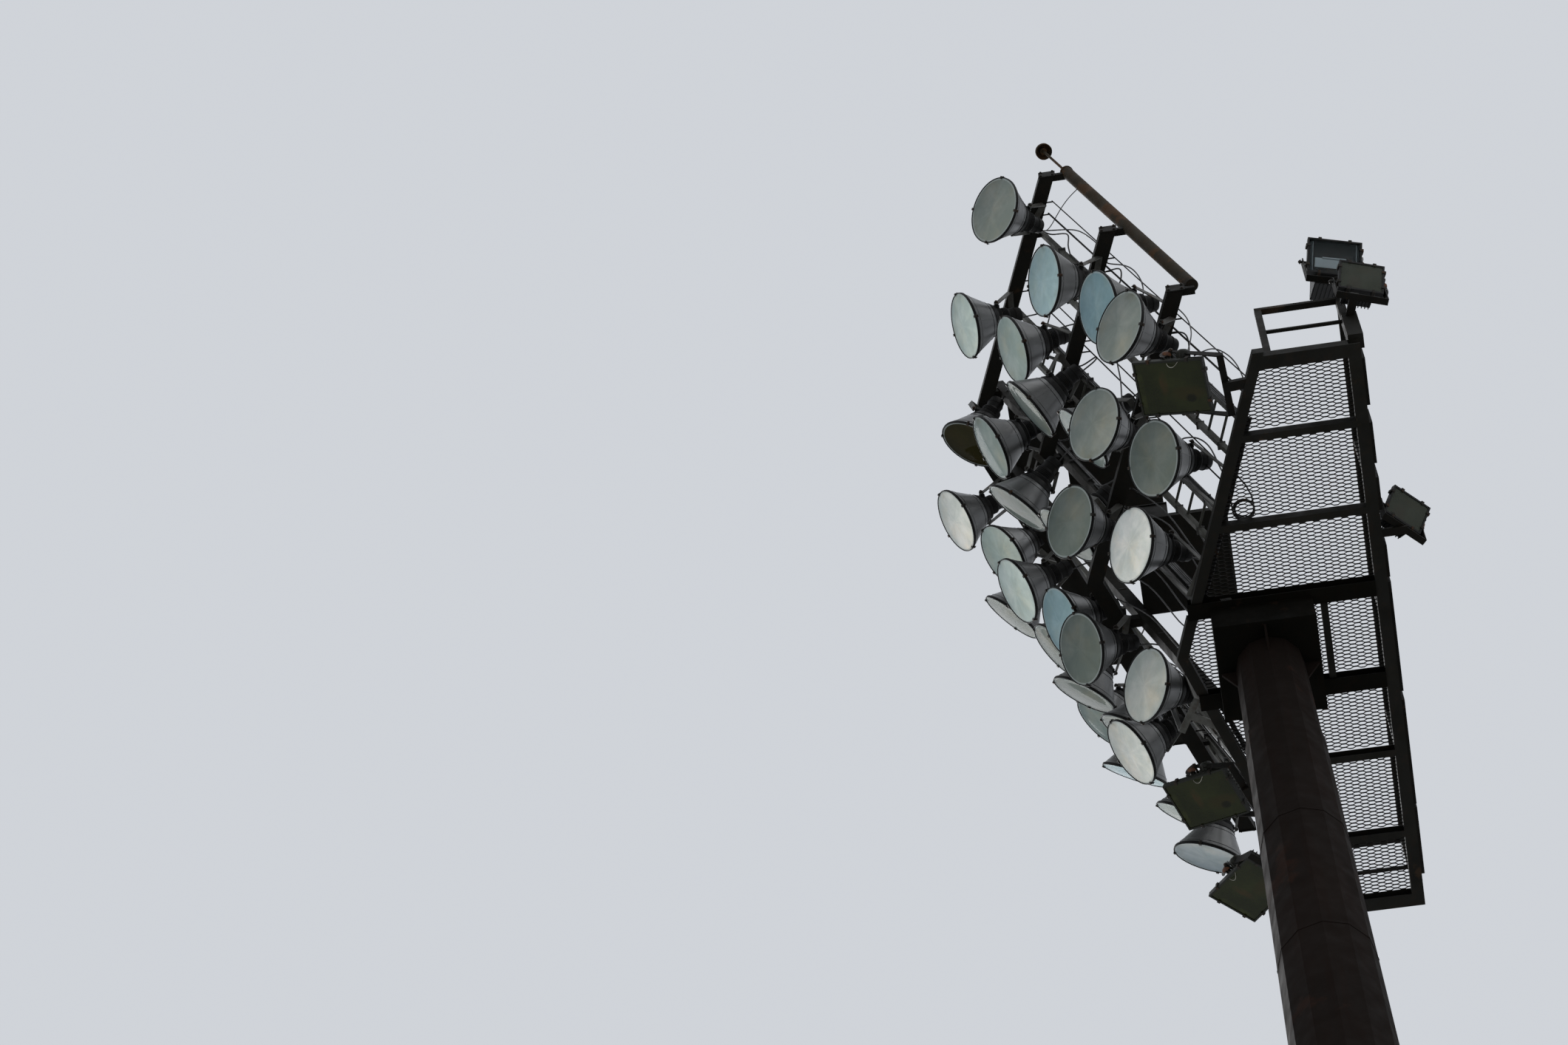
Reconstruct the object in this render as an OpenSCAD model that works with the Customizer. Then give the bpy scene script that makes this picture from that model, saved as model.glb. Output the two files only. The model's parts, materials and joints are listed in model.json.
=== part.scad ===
// Stadium floodlight pylon: twelve sided steel shaft, open mesh platform,
// three raked V tiers of round projectors and six tilting flood units.
// Millimetres, +Z up, origin on the ground under the base flange, field towards -Y.

/* [Shaft] */
// Width of the shaft across its sides at the ground
shaft_w = 989; // [900:1:1100]
// Narrowing of the shaft for every metre of height
shaft_taper = 18.7; // [15:0.1:22]
// Wall of the shaft
shaft_wall = 16; // [10:1:30]
// Height of the shaft under the head box
shaft_h = 26130; // [24000:10:28000]
// Height of the slip joint under the head
slip_z = 24800; // [24000:10:25500]
// How far the lower shaft stands proud at the slip joint
slip_step = 12; // [6:1:20]
// Distance between the weld seams
seam_pitch = 1620; // [1400:10:1800]

/* [Base] */
// Outside diameter of the base flange
flange_d = 1500; // [1300:10:1700]
// Thickness of the base flange
flange_t = 60; // [40:1:90]
// Circle of the anchor bolts
anchor_pcd = 1300; // [1150:10:1400]
// Number of anchor bolts
anchor_n = 12; // [8:1:16]
// Anchor bolt hole
anchor_hole_d = 48; // [40:1:60]
// Cable hole in the middle of the flange
cable_hole_d = 420; // [200:10:600]
// Height of the ribs above the flange
rib_h = 260; // [150:10:400]

/* [Platform] */
// Top of the platform frame
deck_z = 26600; // [26000:10:27000]
// Half length of the platform
half_span = 2250; // [2000:10:2500]
// Depth of the frame members
frame_h = 100; // [80:1:140]
// Back of the platform
back_y = 920; // [800:10:1000]
// Middle of the front edge
edge_apex_y = -610; // [-700:10:-500]
// Front edge at its two ends
edge_end_y = 206; // [150:2:260]
// Width of the front edge beam
edge_w = 76; // [60:2:100]
// Height of the top rail above the deck
rail_h = 1000; // [900:10:1200]
// Height of the middle rail above the deck
mid_rail_h = 500; // [400:10:600]
// Side of the head box
head_w = 740; // [600:10:800]

/* [Tiers] */
// Width of the tier beams
beam_w = 116; // [90:2:150]
// Height of the tier beams
beam_h = 130; // [90:5:160]
// Width of the raking masts
mast_w = 90; // [70:5:140]
// Distance of each mast from the middle
mast_x = 380; // [300:5:450]
// Lean of the masts towards the field
mast_lean = 14.7; // [10:0.1:20]
// Width of the raking rails
rail_w = 40; // [25:1:60]
// Length of each landing across the masts
landing_l = 800; // [700:10:900]
// Depth of each landing behind the masts
landing_d = 740; // [600:10:800]
// Upstand around each landing
landing_h = 60; // [40:5:120]
// Outside diameter of the end pipe
pipe_d = 100; // [80:1:120]

/* [Projectors] */
// Outside diameter of the round projector rim
rim_d = 566; // [520:2:620]
// Depth of the reflector
bowl_h = 290; // [250:5:330]
// Diameter of the reflector neck
neck_d = 224; // [180:2:260]
// Length of the lamp housing behind the neck
tail_l = 215; // [180:5:280]
// Half of the gap between the arms of a yoke
yoke_in = 138; // [130:2:170]
// Height of a standing projector's pivot above the beam centre
pivot_up = 400; // [350:5:450]
// Depth of a hanging projector's pivot below the beam centre
pivot_down = 350; // [300:5:400]

/* [Hidden] */
tier_a = [31960, -1190, -2130];
tier_b = [30080, -735, -1665];
tier_c = [28270, -290, -1200];
landings = [28400, 30200, 32050];
pipe_foot = [2235, -161, 28340];
pipe_top = [2235, -1017, 32000];
finial_l = 855;
tier_d = [deck_z - frame_h / 2, edge_end_y, edge_apex_y];
bar_t = 8;
rail_y0 = 895;
rails = [850, 1060, 1480, 1740];
beam_front = -520;

// Projector rows: station along X, reach in front of the beam, pan, tilt, and where
// needed how far the yoke strap sits in front of the beam's middle
a_down = [[1995, 140, 38, 30], [1160, 115, 4, 24], [287, -25, -42, 47],
    [-518, 190, -6, 31], [-1348, 235, -38, 28]];
b_up = [[1274, 210, 1, 25], [510, 195, -10, 25, 12], [-443, 230, -9, 37],
    [-1293, 250, -25, 31], [-1985, 265, -27, 37]];
b_down = [[1966, 155, 17, 23], [1123, 85, -27, 21, 28], [350, 30, -38, 29],
    [-492, 135, -6, 30], [-1319, 150, -48, 34], [-2064, 175, -60, 30]];
c_up = [[2043, 234, 14, 28], [1183, 158, -24, 25], [446, 118, -31, 30, 62],
    [-421, 205, 3, 30], [-1258, 203, -45, 35], [-2025, 183, -53, 32]];
c_down = [[2001, 114, 36, 22], [1290, 127, 36, 29], [557, 104, 32, 28],
    [-407, 82, 16, 33], [-1198, 130, -12, 33], [-2020, 117, -60, 43]];
d_up = [[1346, 255, 25, 33], [672, 247, 27, 25, 30], [-465, 215, 30, 24, 274]];

// Flood units: pivot, pan, tilt, width along the pivot, height, yoke drop
flood_1 = [[2000, -380, 26850], -4, 67, 416, 540];
flood_2 = [[-1240, -545, 26850], -22, 67, 416, 540];
flood_3 = [[-2017, -317, 26850], -50, 67, 416, 540];
flood_4 = [[2310, 880, 28100], 105, 38, 405, 311];
flood_5 = [[2370, 1005, 27330], 108, 34, 330, 255];
flood_6 = [[620, 1105, 27200], 133, 40, 325, 250];

function shaft_r(z) = (shaft_w - shaft_taper * z / 1000) / 2;
function wing_y(t, x) = t[2] + (t[1] - t[2]) * abs(x) / half_span;
function wing_a(t) = atan((t[1] - t[2]) / half_span);
function side(x) = x < 0 ? -1 : 1;
function pivot_y(t, l) = wing_y(t, l[0]) - l[1] / cos(wing_a(t));
function mast_y(z) = -850 - tan(mast_lean) * (z - 28270);
function rail_y(x, z) = wing_y(tier_d, x) + 10
    + (wing_y(tier_a, x) + 110 - wing_y(tier_d, x) - 10) * (z - deck_z) / (tier_a[0] - deck_z);

function pipe_y(z) = pipe_foot[1] + (pipe_top[1] - pipe_foot[1]) * (z - pipe_foot[2]) / (pipe_top[2] - pipe_foot[2]);

// Straight square bar between two points
module bar(p, q, w) {
    d = q - p;
    l = norm(d);
    translate(p)
        rotate([0, acos(d[2] / l), atan2(d[1], d[0])])
            translate([-w / 2, -w / 2, 0])
                cube([w, w, l]);
}

// Round bar between two points
module rod(p, q, r) {
    d = q - p;
    l = norm(d);
    translate(p)
        rotate([0, acos(d[2] / l), atan2(d[1], d[0])])
            cylinder(h = l, r = r, $fn = 32);
}

// One hollow length of shaft between two heights
module shaft_length(z0, z1, extra) {
    difference() {
        union() {
            translate([0, 0, z0])
                cylinder(h = z1 - z0, r1 = shaft_r(z0) + extra, r2 = shaft_r(z1) + extra, $fn = 12);
            for (z = [slip_z - seam_pitch * 15 : seam_pitch : shaft_h])
                if (z > z0 + 50 && z < z1 - 50)
                    translate([0, 0, z - 6])
                        cylinder(h = 12, r = shaft_r(z) + extra + 3, $fn = 12);
        }
        translate([0, 0, z0 - 1])
            cylinder(h = z1 - z0 + 2, r1 = shaft_r(z0) - shaft_wall, r2 = shaft_r(z1) - shaft_wall, $fn = 12);
    }
}

module base_flange() {
    color("#3b2f2a")
    difference() {
        cylinder(h = flange_t, d = flange_d, $fn = 96);
        translate([0, 0, -1])
            cylinder(h = flange_t + 2, d = cable_hole_d, $fn = 64);
        for (i = [0 : anchor_n - 1])
            rotate([0, 0, i * 360 / anchor_n])
                translate([anchor_pcd / 2, 0, -1])
                    cylinder(h = flange_t + 2, d = anchor_hole_d, $fn = 32);
    }
}

module shaft_lower() {
    color("#3a2a28") {
        shaft_length(flange_t, 8800, slip_step);
        rotate([0, 0, 105])
            translate([shaft_r(1100) * cos(15), -100, 900]) {
                cube([24, 200, 420]);
                translate([20, 12, 12])
                    cube([12, 176, 396]);
            }
        difference() {
            for (i = [0 : anchor_n - 1])
                rotate([0, 0, (i + 0.5) * 360 / anchor_n])
                    translate([0, 10, flange_t])
                        rotate([90, 0, 0])
                            linear_extrude(20)
                                polygon([[440, 0], [700, 0], [700, 40], [540, rib_h], [440, rib_h]]);
            translate([0, 0, flange_t - 1])
                cylinder(h = rib_h + 2, r = shaft_r(0) - 4, $fn = 12);
        }
    }
}

module shaft_middle() {
    color("#3a2a28") shaft_length(8800, 16800, slip_step);
}

module shaft_upper() {
    color("#3a2a28") shaft_length(16800, slip_z, slip_step);
}

module shaft_top() {
    color("#3a2a28") {
        shaft_length(slip_z, shaft_h, 0);
        difference() {
            for (i = [0 : 3])
                rotate([0, 0, i * 90])
                    translate([0, 8, shaft_h - 260])
                        rotate([90, 0, 0])
                            linear_extrude(16)
                                polygon([[220, 60], [250, 0], [350, 240], [350, 260], [220, 260]]);
            translate([0, 0, shaft_h - 300])
                cylinder(h = 301, r = shaft_r(shaft_h) - 6, $fn = 12);
        }
    }
}

module head_box() {
    color("#241f1d")
    difference() {
        translate([-head_w / 2, -head_w / 2, shaft_h])
            cube([head_w, head_w, deck_z - 120 - shaft_h]);
        translate([-head_w / 2 + 20, -head_w / 2 + 20, shaft_h + 25])
            cube([head_w - 40, head_w - 40, deck_z - 120 - shaft_h - 50]);
        translate([0, 0, shaft_h - 1])
            cylinder(h = 400, r = 150, $fn = 48);
    }
}

// I section running along Y, with a plate on its front end
module main_beam(x) {
    translate([x - 60, beam_front - 10, deck_z - 120])
        cube([120, 10, 120]);
    translate([x, back_y - 90, deck_z - 120])
        rotate([90, 0, 0])
            linear_extrude(back_y - 90 - beam_front)
                polygon([[-60, 0], [60, 0], [60, 12], [5, 12], [5, 108], [60, 108], [60, 120],
                    [-60, 120], [-60, 108], [-5, 108], [-5, 12], [-60, 12]]);
}

module main_beams() {
    color("#221e1c")
    for (s = [-1, 1])
        main_beam(s * 360);
}

// Plan of a V beam with its two wings
module wing_plan(t, w) {
    c = w / 2 / cos(wing_a(t));
    polygon([[-half_span, t[1] - c], [0, t[2] - c], [half_span, t[1] - c],
        [half_span, t[1] + c], [0, t[2] + c], [-half_span, t[1] + c]]);
}

// Plan of the deck behind the front edge
module deck_plan() {
    c = edge_w / 2 / cos(wing_a(tier_d));
    polygon([[-2220, wing_y(tier_d, 2220) + c], [0, edge_apex_y + c], [2220, wing_y(tier_d, 2220) + c],
        [2220, back_y - 90], [-2220, back_y - 90]]);
}

// Channel along Y, open towards the middle of the deck
module cross_channel(x, w) {
    s = side(x);
    intersection() {
        translate([0, 0, deck_z - frame_h])
            linear_extrude(frame_h)
                deck_plan();
        difference() {
            translate([x - w / 2, -900, deck_z - frame_h])
                cube([w, 1800, frame_h]);
            translate([x - w / 2 - s * 8, -901, deck_z - frame_h + 8])
                cube([w, 1802, frame_h - 16]);
        }
    }
}

module cross_members() {
    color("#221e1c") {
        for (s = [-1, 1]) {
            cross_channel(s * 960, 50);
            cross_channel(s * 1620, 50);
            cross_channel(s * 2170, 100);
        }
        translate([-300, 425, deck_z - frame_h])
            cube([600, 50, frame_h]);
    }
}

module front_edge() {
    color("#221e1c")
    difference() {
        translate([0, 0, deck_z - frame_h])
            linear_extrude(frame_h)
                wing_plan(tier_d, edge_w);
        for (s = [-1, 1])
            translate([s * 360 - 60, -900, deck_z - frame_h - 1])
                cube([120, 600, frame_h + 2]);
    }
}

module back_edge() {
    color("#221e1c")
    difference() {
        translate([-2220, back_y - 90, deck_z - frame_h])
            cube([4440, 90, frame_h]);
        translate([-2221, back_y - 82, deck_z - frame_h + 8])
            cube([4442, 90, frame_h - 16]);
    }
}

module mesh_deck() {
    color("#2c2826")
    difference() {
        translate([0, 0, deck_z - 7])
            linear_extrude(5)
                deck_plan();
        for (s = [-1, 1]) {
            translate([s * 360 - 60, -900, deck_z - 20])
                cube([120, 1800, 40]);
            translate([s * 960 - 25, -900, deck_z - 20])
                cube([50, 1800, 40]);
            translate([s * 1620 - 25, -900, deck_z - 20])
                cube([50, 1800, 40]);
            translate([s * 2170 - 50, -900, deck_z - 20])
                cube([101, 1800, 40]);
        }
        translate([-300, 425, deck_z - 20])
            cube([600, 50, 40]);
    }
}

module railings() {
    color("#26211f") {
        for (x = [-2190, -1100, 0, 1100])
            translate([x - 25, rail_y0 - 40, deck_z])
                cube([50, 40, rail_h]);
        for (s = [-1, 1])
            translate([s * 2195 - 20, 250, deck_z])
                cube([40, 50, rail_h]);
        for (r = [[mid_rail_h, 24], [rail_h, 44]]) {
            translate([-2195 - r[1] / 2, rail_y0 - r[1], deck_z + r[0] - r[1] / 2])
                cube([4340 + r[1] / 2, r[1], r[1]]);
            translate([-2195 - r[1] / 2, 250, deck_z + r[0] - r[1] / 2])
                cube([r[1], rail_y0 - 250, r[1]]);
            translate([2195 - r[1] / 2, 250, deck_z + r[0] - r[1] / 2])
                cube([r[1], 595, r[1]]);
        }
    }
}

module corner_post() {
    color("#26211f")
    {
        translate([2145, 845, deck_z])
            cube([110, 110, 520]);
        translate([2145, 845, deck_z + 520])
            cube([60, 60, 570]);
        translate([2145, 845, deck_z + 1090])
            cube([200, 110, 10]);
    }
}

module gear_boxes() {
    color("#2a2624")
    for (b = [[1590, 1950], [1140, 1455], [775, 1030], [245, 495], [-675, 205], [-1605, -745], [-2190, -1635]])
        translate([b[0], 895, deck_z + mid_rail_h - 150])
            cube([b[1] - b[0], 75, 300]);
}

// Tray of one landing, cut to the back of the masts
module landing(z) {
    y = mast_y(z) + mast_w / 2;
    difference() {
        translate([-landing_l / 2, y - 20, z])
            cube([landing_l, landing_d, landing_h]);
        translate([-landing_l / 2 + 6, y + 6, z + 6])
            cube([landing_l - 12, landing_d - 32, landing_h]);
        mast_solid();
        translate([-landing_l / 2 - 1, y - 80, z - 1])
            cube([landing_l + 2, 62, landing_h + 2]);
    }
}

module landing_low() {
    color("#211d1b") landing(landings[0]);
}

module landing_mid() {
    color("#211d1b") landing(landings[1]);
}

module landing_top() {
    color("#211d1b") landing(landings[2]);
}

// Control cabinet on the low landing, with two doors and a canopy
module gear_cabinet() {
    color("#25211f") {
        translate([-320, -830, landings[0] + 6])
            cube([640, 250, 480]);
        translate([-330, -838, landings[0] + 486])
            cube([660, 268, 14]);
        for (x = [-312, 6])
            translate([x, -580, landings[0] + 30])
                cube([306, 8, 440]);
    }
}

module mast_solid() {
    for (s = [-1, 1])
        intersection() {
            translate([s * mast_x, mast_y(deck_z), deck_z])
                rotate([mast_lean, 0, 0])
                    translate([-mast_w / 2, -mast_w / 2, -100])
                        cube([mast_w, mast_w, 5850]);
            translate([-1000, -3000, deck_z])
                cube([2000, 4000, 5560]);
        }
}

module masts() {
    color("#26211f") mast_solid();
}

module brace_solid() {
    for (s = [-1, 1]) {
        for (x = rails)
            intersection() {
                bar([s * x, rail_y(x, deck_z - 100), deck_z - 100], [s * x, rail_y(x, 32060), 32060], rail_w);
                translate([-3000, -4000, deck_z])
                    cube([6000, 6000, 8000]);
            }
        for (z = [deck_z + 280 : 280 : 31900])
            for (i = [0, 2])
                bar([s * rails[i], rail_y(rails[i], z), z], [s * rails[i + 1], rail_y(rails[i + 1], z), z], 18);
    }
}

module wing_braces() {
    color("#2a2523") brace_solid();
}

// Short block that carries a raking post or rail behind a tier beam
module cleat(t, x, y, w, h) {
    translate([x - w / 2, wing_y(t, x), t[0] - h / 2])
        cube([w, y - wing_y(t, x), h]);
}

module tier_beam(t) {
    difference() {
        union() {
            translate([0, 0, t[0] - beam_h / 2])
                linear_extrude(beam_h)
                    wing_plan(t, beam_w);
            for (s = [-1, 1]) {
                translate([s * (half_span + 5) - 5, t[1] - 70, t[0] - beam_h / 2 - 8])
                    cube([10, 140, beam_h + 16]);
                cleat(t, s * mast_x, mast_y(t[0]), 70, 90);
                for (x = rails)
                    cleat(t, s * x, rail_y(x, t[0]), 36, 50);
            }
            cleat(t, 2222, pipe_y(t[0]), 56, 50);
        }
        mast_solid();
        brace_solid();
        pipe_solid();
    }
}

module tier_low() {
    color("#26211f") tier_beam(tier_c);
}

module tier_mid() {
    color("#26211f") tier_beam(tier_b);
}

module tier_top() {
    color("#26211f") tier_beam(tier_a);
}

// Places its children at the foot of the end pipe, +Z along the pipe
module along_pipe() {
    d = pipe_top - pipe_foot;
    translate(pipe_foot)
        rotate([0, acos(d[2] / norm(d)), atan2(d[1], d[0])])
            children();
}

module pipe_solid() {
    along_pipe()
        cylinder(h = norm(pipe_top - pipe_foot), d = pipe_d, $fn = 48);
}

module end_pipe() {
    color("#8a5a2e") pipe_solid();
}

module finial() {
    l = norm(pipe_top - pipe_foot);
    color("#8a4a2a")
    along_pipe() {
        translate([0, 0, l])
            cylinder(h = 22, d = pipe_d + 12, $fn = 48);
        translate([0, 0, l + 10])
            cylinder(h = finial_l - 10, r = 11, $fn = 24);
        translate([0, 0, l + finial_l - 60])
            rotate_extrude($fn = 48)
                polygon([[72, 0], [71, 32], [54, 64], [24, 80], [0, 84], [0, 20], [30, 20], [30, 66], [50, 58],
                    [66, 30], [67, 0]]);
    }
}

// Projector parts are drawn with the pivot at the origin and the face towards -Y
module bowl() {
    n = neck_d / 2;
    r = rim_d / 2 - 8;
    rotate([90, 0, 0])
        rotate_extrude($fn = 64)
            polygon([[n, 16], [n + 34, 45], [n + 76, 90], [n + 112, 145], [r - 25, 205], [r - 7, 262],
                [r, 288], [r + 8, 288], [r + 8, 300], [r - 8, 300], [r - 12, 262], [r - 30, 206],
                [n + 107, 148], [n + 72, 94], [n + 30, 49], [n - 5, 16]]);
}

module front_glass() {
    r = rim_d / 2 - 6;
    rotate([90, 0, 0])
        rotate_extrude($fn = 64)
            polygon([[0, 316], [140, 311], [r, 300], [r, 305], [140, 316], [0, 321]]);
}

module tail() {
    n = neck_d / 2;
    rotate([90, 0, 0]) {
        rotate_extrude($fn = 48)
            polygon([[0, 16], [n, 16], [n, -16], [n - 26, -22], [n - 32, -90], [n - 44, -104],
                [n - 50, 10 - tail_l], [n - 58, -tail_l], [0, -tail_l]]);
        rotate([0, 90, 0])
            translate([0, 0, -yoke_in])
                cylinder(h = 2 * yoke_in, r = 13, $fn = 24);
    }
}

// Yoke of a projector: pivot at the origin, strap b behind it and h above or below
module yoke(b, h) {
    e = sign(h);
    for (s = [-1, 1])
        translate([s * (yoke_in + bar_t / 2) - bar_t / 2, 0, 0])
            rotate([90, 0, 90])
                linear_extrude(bar_t)
                    polygon([[-20, -e * 24], [20, -e * 24], [b + 25, h], [b - 25, h]]);
    translate([-yoke_in - bar_t, b - 25, min(h, h - e * bar_t)])
        cube([2 * (yoke_in + bar_t), 50, bar_t]);
}

module place_row(t, rows, dz) {
    for (l = rows)
        translate([l[0], pivot_y(t, l), dz])
            rotate([0, 0, l[2]])
                rotate([l[3], 0, 0])
                    children();
}

// Yokes of one row, their straps flat on the beam face at face_z
module yoke_row(t, rows, dz, face_z) {
    for (l = rows) {
        short = len(l) > 4 ? l[4] : 0;
        b = l[1] / cos(l[2] - side(l[0]) * wing_a(t)) - short;
        h = face_z - dz;
        translate([l[0], pivot_y(t, l), dz])
            rotate([0, 0, l[2]]) {
                yoke(b, h);
                if (short > 40)
                    translate([-30, b, min(h, h - sign(h) * bar_t)])
                        cube([60, short, bar_t]);
            }
    }
}

module upper_rows() {
    place_row(tier_a, a_down, tier_a[0] - pivot_down) children();
    place_row(tier_b, b_up, tier_b[0] + pivot_up) children();
    place_row(tier_b, b_down, tier_b[0] - pivot_down) children();
}

module lower_rows() {
    place_row(tier_c, c_up, tier_c[0] + pivot_up) children();
    place_row(tier_c, c_down, tier_c[0] - pivot_down) children();
    place_row(tier_d, d_up, deck_z + pivot_up) children();
}

module bowls_upper() {
    color("#9a9c98") upper_rows() bowl();
}

module bowls_lower() {
    color("#9a9c98") lower_rows() bowl();
}

module glasses_upper() {
    color("#aebcc0") upper_rows() front_glass();
}

module glasses_lower() {
    color("#aebcc0") lower_rows() front_glass();
}

module tails_upper() {
    color("#1d1c1c") upper_rows() tail();
}

module tails_lower() {
    color("#1d1c1c") lower_rows() tail();
}

module yokes_upper() {
    color("#8c8c86") {
        yoke_row(tier_a, a_down, tier_a[0] - pivot_down, tier_a[0] - beam_h / 2);
        yoke_row(tier_b, b_up, tier_b[0] + pivot_up, tier_b[0] + beam_h / 2);
        yoke_row(tier_b, b_down, tier_b[0] - pivot_down, tier_b[0] - beam_h / 2);
    }
}

module yokes_lower() {
    color("#8c8c86") {
        yoke_row(tier_c, c_up, tier_c[0] + pivot_up, tier_c[0] + beam_h / 2);
        yoke_row(tier_c, c_down, tier_c[0] - pivot_down, tier_c[0] - beam_h / 2);
        yoke_row(tier_d, d_up, deck_z + pivot_up, deck_z);
    }
}

// Flood housing drawn with the pivot at the origin and the glass towards -Y.
// The back tapers from the frame to the gear box, which reaches low under the pivot
// and carries cooling ribs.
module flood_shell(w, h, deep, low) {
    difference() {
        union() {
            translate([-w / 2, -110, -h / 2])
                cube([w, 45, h]);
            intersection() {
                translate([0, 0, -h / 2])
                    linear_extrude(h)
                        polygon([[-w / 2 + 8, -65], [w / 2 - 8, -65], [w * 0.36, 40], [-w * 0.36, 40]]);
                translate([-w / 2, 0, 0])
                    rotate([90, 0, 90])
                        linear_extrude(w)
                            polygon([[-65, 8 - h / 2], [-65, h / 2 - 8], [40, h * 0.26], [40, -h * 0.34]]);
            }
            translate([-w * 0.33, -40, -low])
                cube([w * 0.66, deep + 30, low + h * 0.16]);
            for (i = [-4 : 4])
                translate([i * w * 0.075 - 3, -40, -low - 8])
                    cube([6, deep + 40, low + h * 0.16 + 8]);
        }
        translate([-w / 2 + 14, -111, -h / 2 + 14])
            cube([w - 28, 42, h - 28]);
    }
    rotate([0, 90, 0])
        translate([0, 0, -w / 2 - 34])
            cylinder(h = w + 68, r = 10, $fn = 32);
}

module flood_pane(w, h) {
    translate([-w / 2 + 14, -104, -h / 2 + 14])
        cube([w - 28, 5, h - 28]);
}

module at_flood(f) {
    translate(f[0])
        rotate([0, 0, f[1]])
            rotate([f[2], 0, 0])
                children();
}

// Arms and base strap of a flood yoke: pivot at the origin, base at (y, z)
module flood_yoke(w, y, z) {
    x = w / 2 + 16;
    difference() {
        union() {
            for (s = [-1, 1])
                translate([s * (x + 4) - 4, 0, 0])
                    rotate([90, 0, 90])
                        linear_extrude(8)
                            polygon([[-25, 25], [25, 25], [y + 25, z + 50], [y + 25, z], [y - 25, z]]);
            translate([-x - 8, y - 25, z])
                cube([2 * x + 16, 50, 8]);
        }
        rotate([0, 90, 0])
            translate([0, 0, -w])
                cylinder(h = 2 * w, r = 10.05, $fn = 32);
    }
}

// Bracket from the strap of a front flood yoke to the face of the edge beam.
// It is drawn in plan from the strap, b behind the pivot of flood f, to the face.
module edge_bracket(f, b, w) {
    u = [-sin(f[1]), cos(f[1])];
    v = [cos(f[1]), sin(f[1])];
    k = (edge_end_y - edge_apex_y) / half_span * side(f[0][0]);
    face = edge_apex_y - edge_w / 2 / cos(wing_a(tier_d));
    p = [for (s = [-1, 1]) [f[0][0], f[0][1]] + s * w / 2 * v + (b - 20) * u];
    q = [for (c = p) c + (face + k * c[0] - c[1]) / (u[1] - k * u[0]) * u];
    translate([0, 0, f[0][2] - 345])
        linear_extrude(49)
            polygon([p[0], p[1], q[1], q[0]]);
}

module front_flood_yokes() {
    color("#3a3632")
    for (f = [[flood_1, 335], [flood_2, 285], [flood_3, 270]]) {
        translate(f[0][0])
            rotate([0, 0, f[0][1]])
                flood_yoke(f[0][3], f[1], -300);
        edge_bracket(f[0], f[1], 70);
    }
}

module rear_flood_yokes() {
    color("#3a3632") {
        translate(flood_4[0])
            rotate([0, 0, flood_4[1]])
                flood_yoke(flood_4[3], 0, -400);
        difference() {
            translate(flood_5[0])
                rotate([0, 0, flood_5[1]]) {
                    flood_yoke(flood_5[3], 0, -300);
                    translate([-90, -25, -300])
                        cube([60, 185, 30]);
                }
            translate([2145, 845, deck_z])
                cube([110, 110, 520]);
        }
        translate(flood_6[0])
            rotate([0, 0, flood_6[1]])
                flood_yoke(flood_6[3], 0, -300);
        translate([flood_6[0][0] - 30, 895, flood_6[0][2] - 325])
            cube([60, 235, 30]);
        translate([flood_6[0][0] - 60, 895, flood_6[0][2] - 330])
            cube([120, 10, 250]);
    }
}

module flood_body_1() {
    color("#2f3025") at_flood(flood_1) flood_shell(flood_1[3], flood_1[4], 110, 170);
}

module flood_body_2() {
    color("#2f3025") at_flood(flood_2) flood_shell(flood_2[3], flood_2[4], 110, 170);
}

module flood_body_3() {
    color("#2f3025") at_flood(flood_3) flood_shell(flood_3[3], flood_3[4], 110, 170);
}

module flood_body_4() {
    color("#1f1f1f") at_flood(flood_4) flood_shell(flood_4[3], flood_4[4], 190, 205);
}

module flood_body_5() {
    color("#1f1f1f") at_flood(flood_5) flood_shell(flood_5[3], flood_5[4], 110, 105);
}

module flood_body_6() {
    color("#1f1f1f") at_flood(flood_6) flood_shell(flood_6[3], flood_6[4], 110, 105);
}

module flood_pane_1() {
    color("#57603a") at_flood(flood_1) flood_pane(flood_1[3], flood_1[4]);
}

module flood_pane_2() {
    color("#57603a") at_flood(flood_2) flood_pane(flood_2[3], flood_2[4]);
}

module flood_pane_3() {
    color("#57603a") at_flood(flood_3) flood_pane(flood_3[3], flood_3[4]);
}

module flood_pane_4() {
    color("#6a7a7c") at_flood(flood_4) flood_pane(flood_4[3], flood_4[4]);
}

module flood_pane_5() {
    color("#6a7a7c") at_flood(flood_5) flood_pane(flood_5[3], flood_5[4]);
}

module flood_pane_6() {
    color("#6a7a7c") at_flood(flood_6) flood_pane(flood_6[3], flood_6[4]);
}

base_flange();
shaft_lower();
shaft_middle();
shaft_upper();
shaft_top();
head_box();
main_beams();
cross_members();
front_edge();
back_edge();
mesh_deck();
railings();
corner_post();
gear_boxes();
landing_low();
landing_mid();
landing_top();
gear_cabinet();
masts();
wing_braces();
tier_low();
tier_mid();
tier_top();
end_pipe();
finial();
bowls_upper();
bowls_lower();
glasses_upper();
glasses_lower();
tails_upper();
tails_lower();
yokes_upper();
yokes_lower();
front_flood_yokes();
rear_flood_yokes();
flood_body_1();
flood_body_2();
flood_body_3();
flood_body_4();
flood_body_5();
flood_body_6();
flood_pane_1();
flood_pane_2();
flood_pane_3();
flood_pane_4();
flood_pane_5();
flood_pane_6();
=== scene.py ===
"""Looks of a stadium floodlight pylon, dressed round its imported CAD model."""
import json
import logging
import math
import random
from dataclasses import dataclass, field
from enum import Enum
from typing import Iterable, Protocol, Sequence

import bmesh
import bpy
from mathutils import Matrix, Vector

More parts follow.
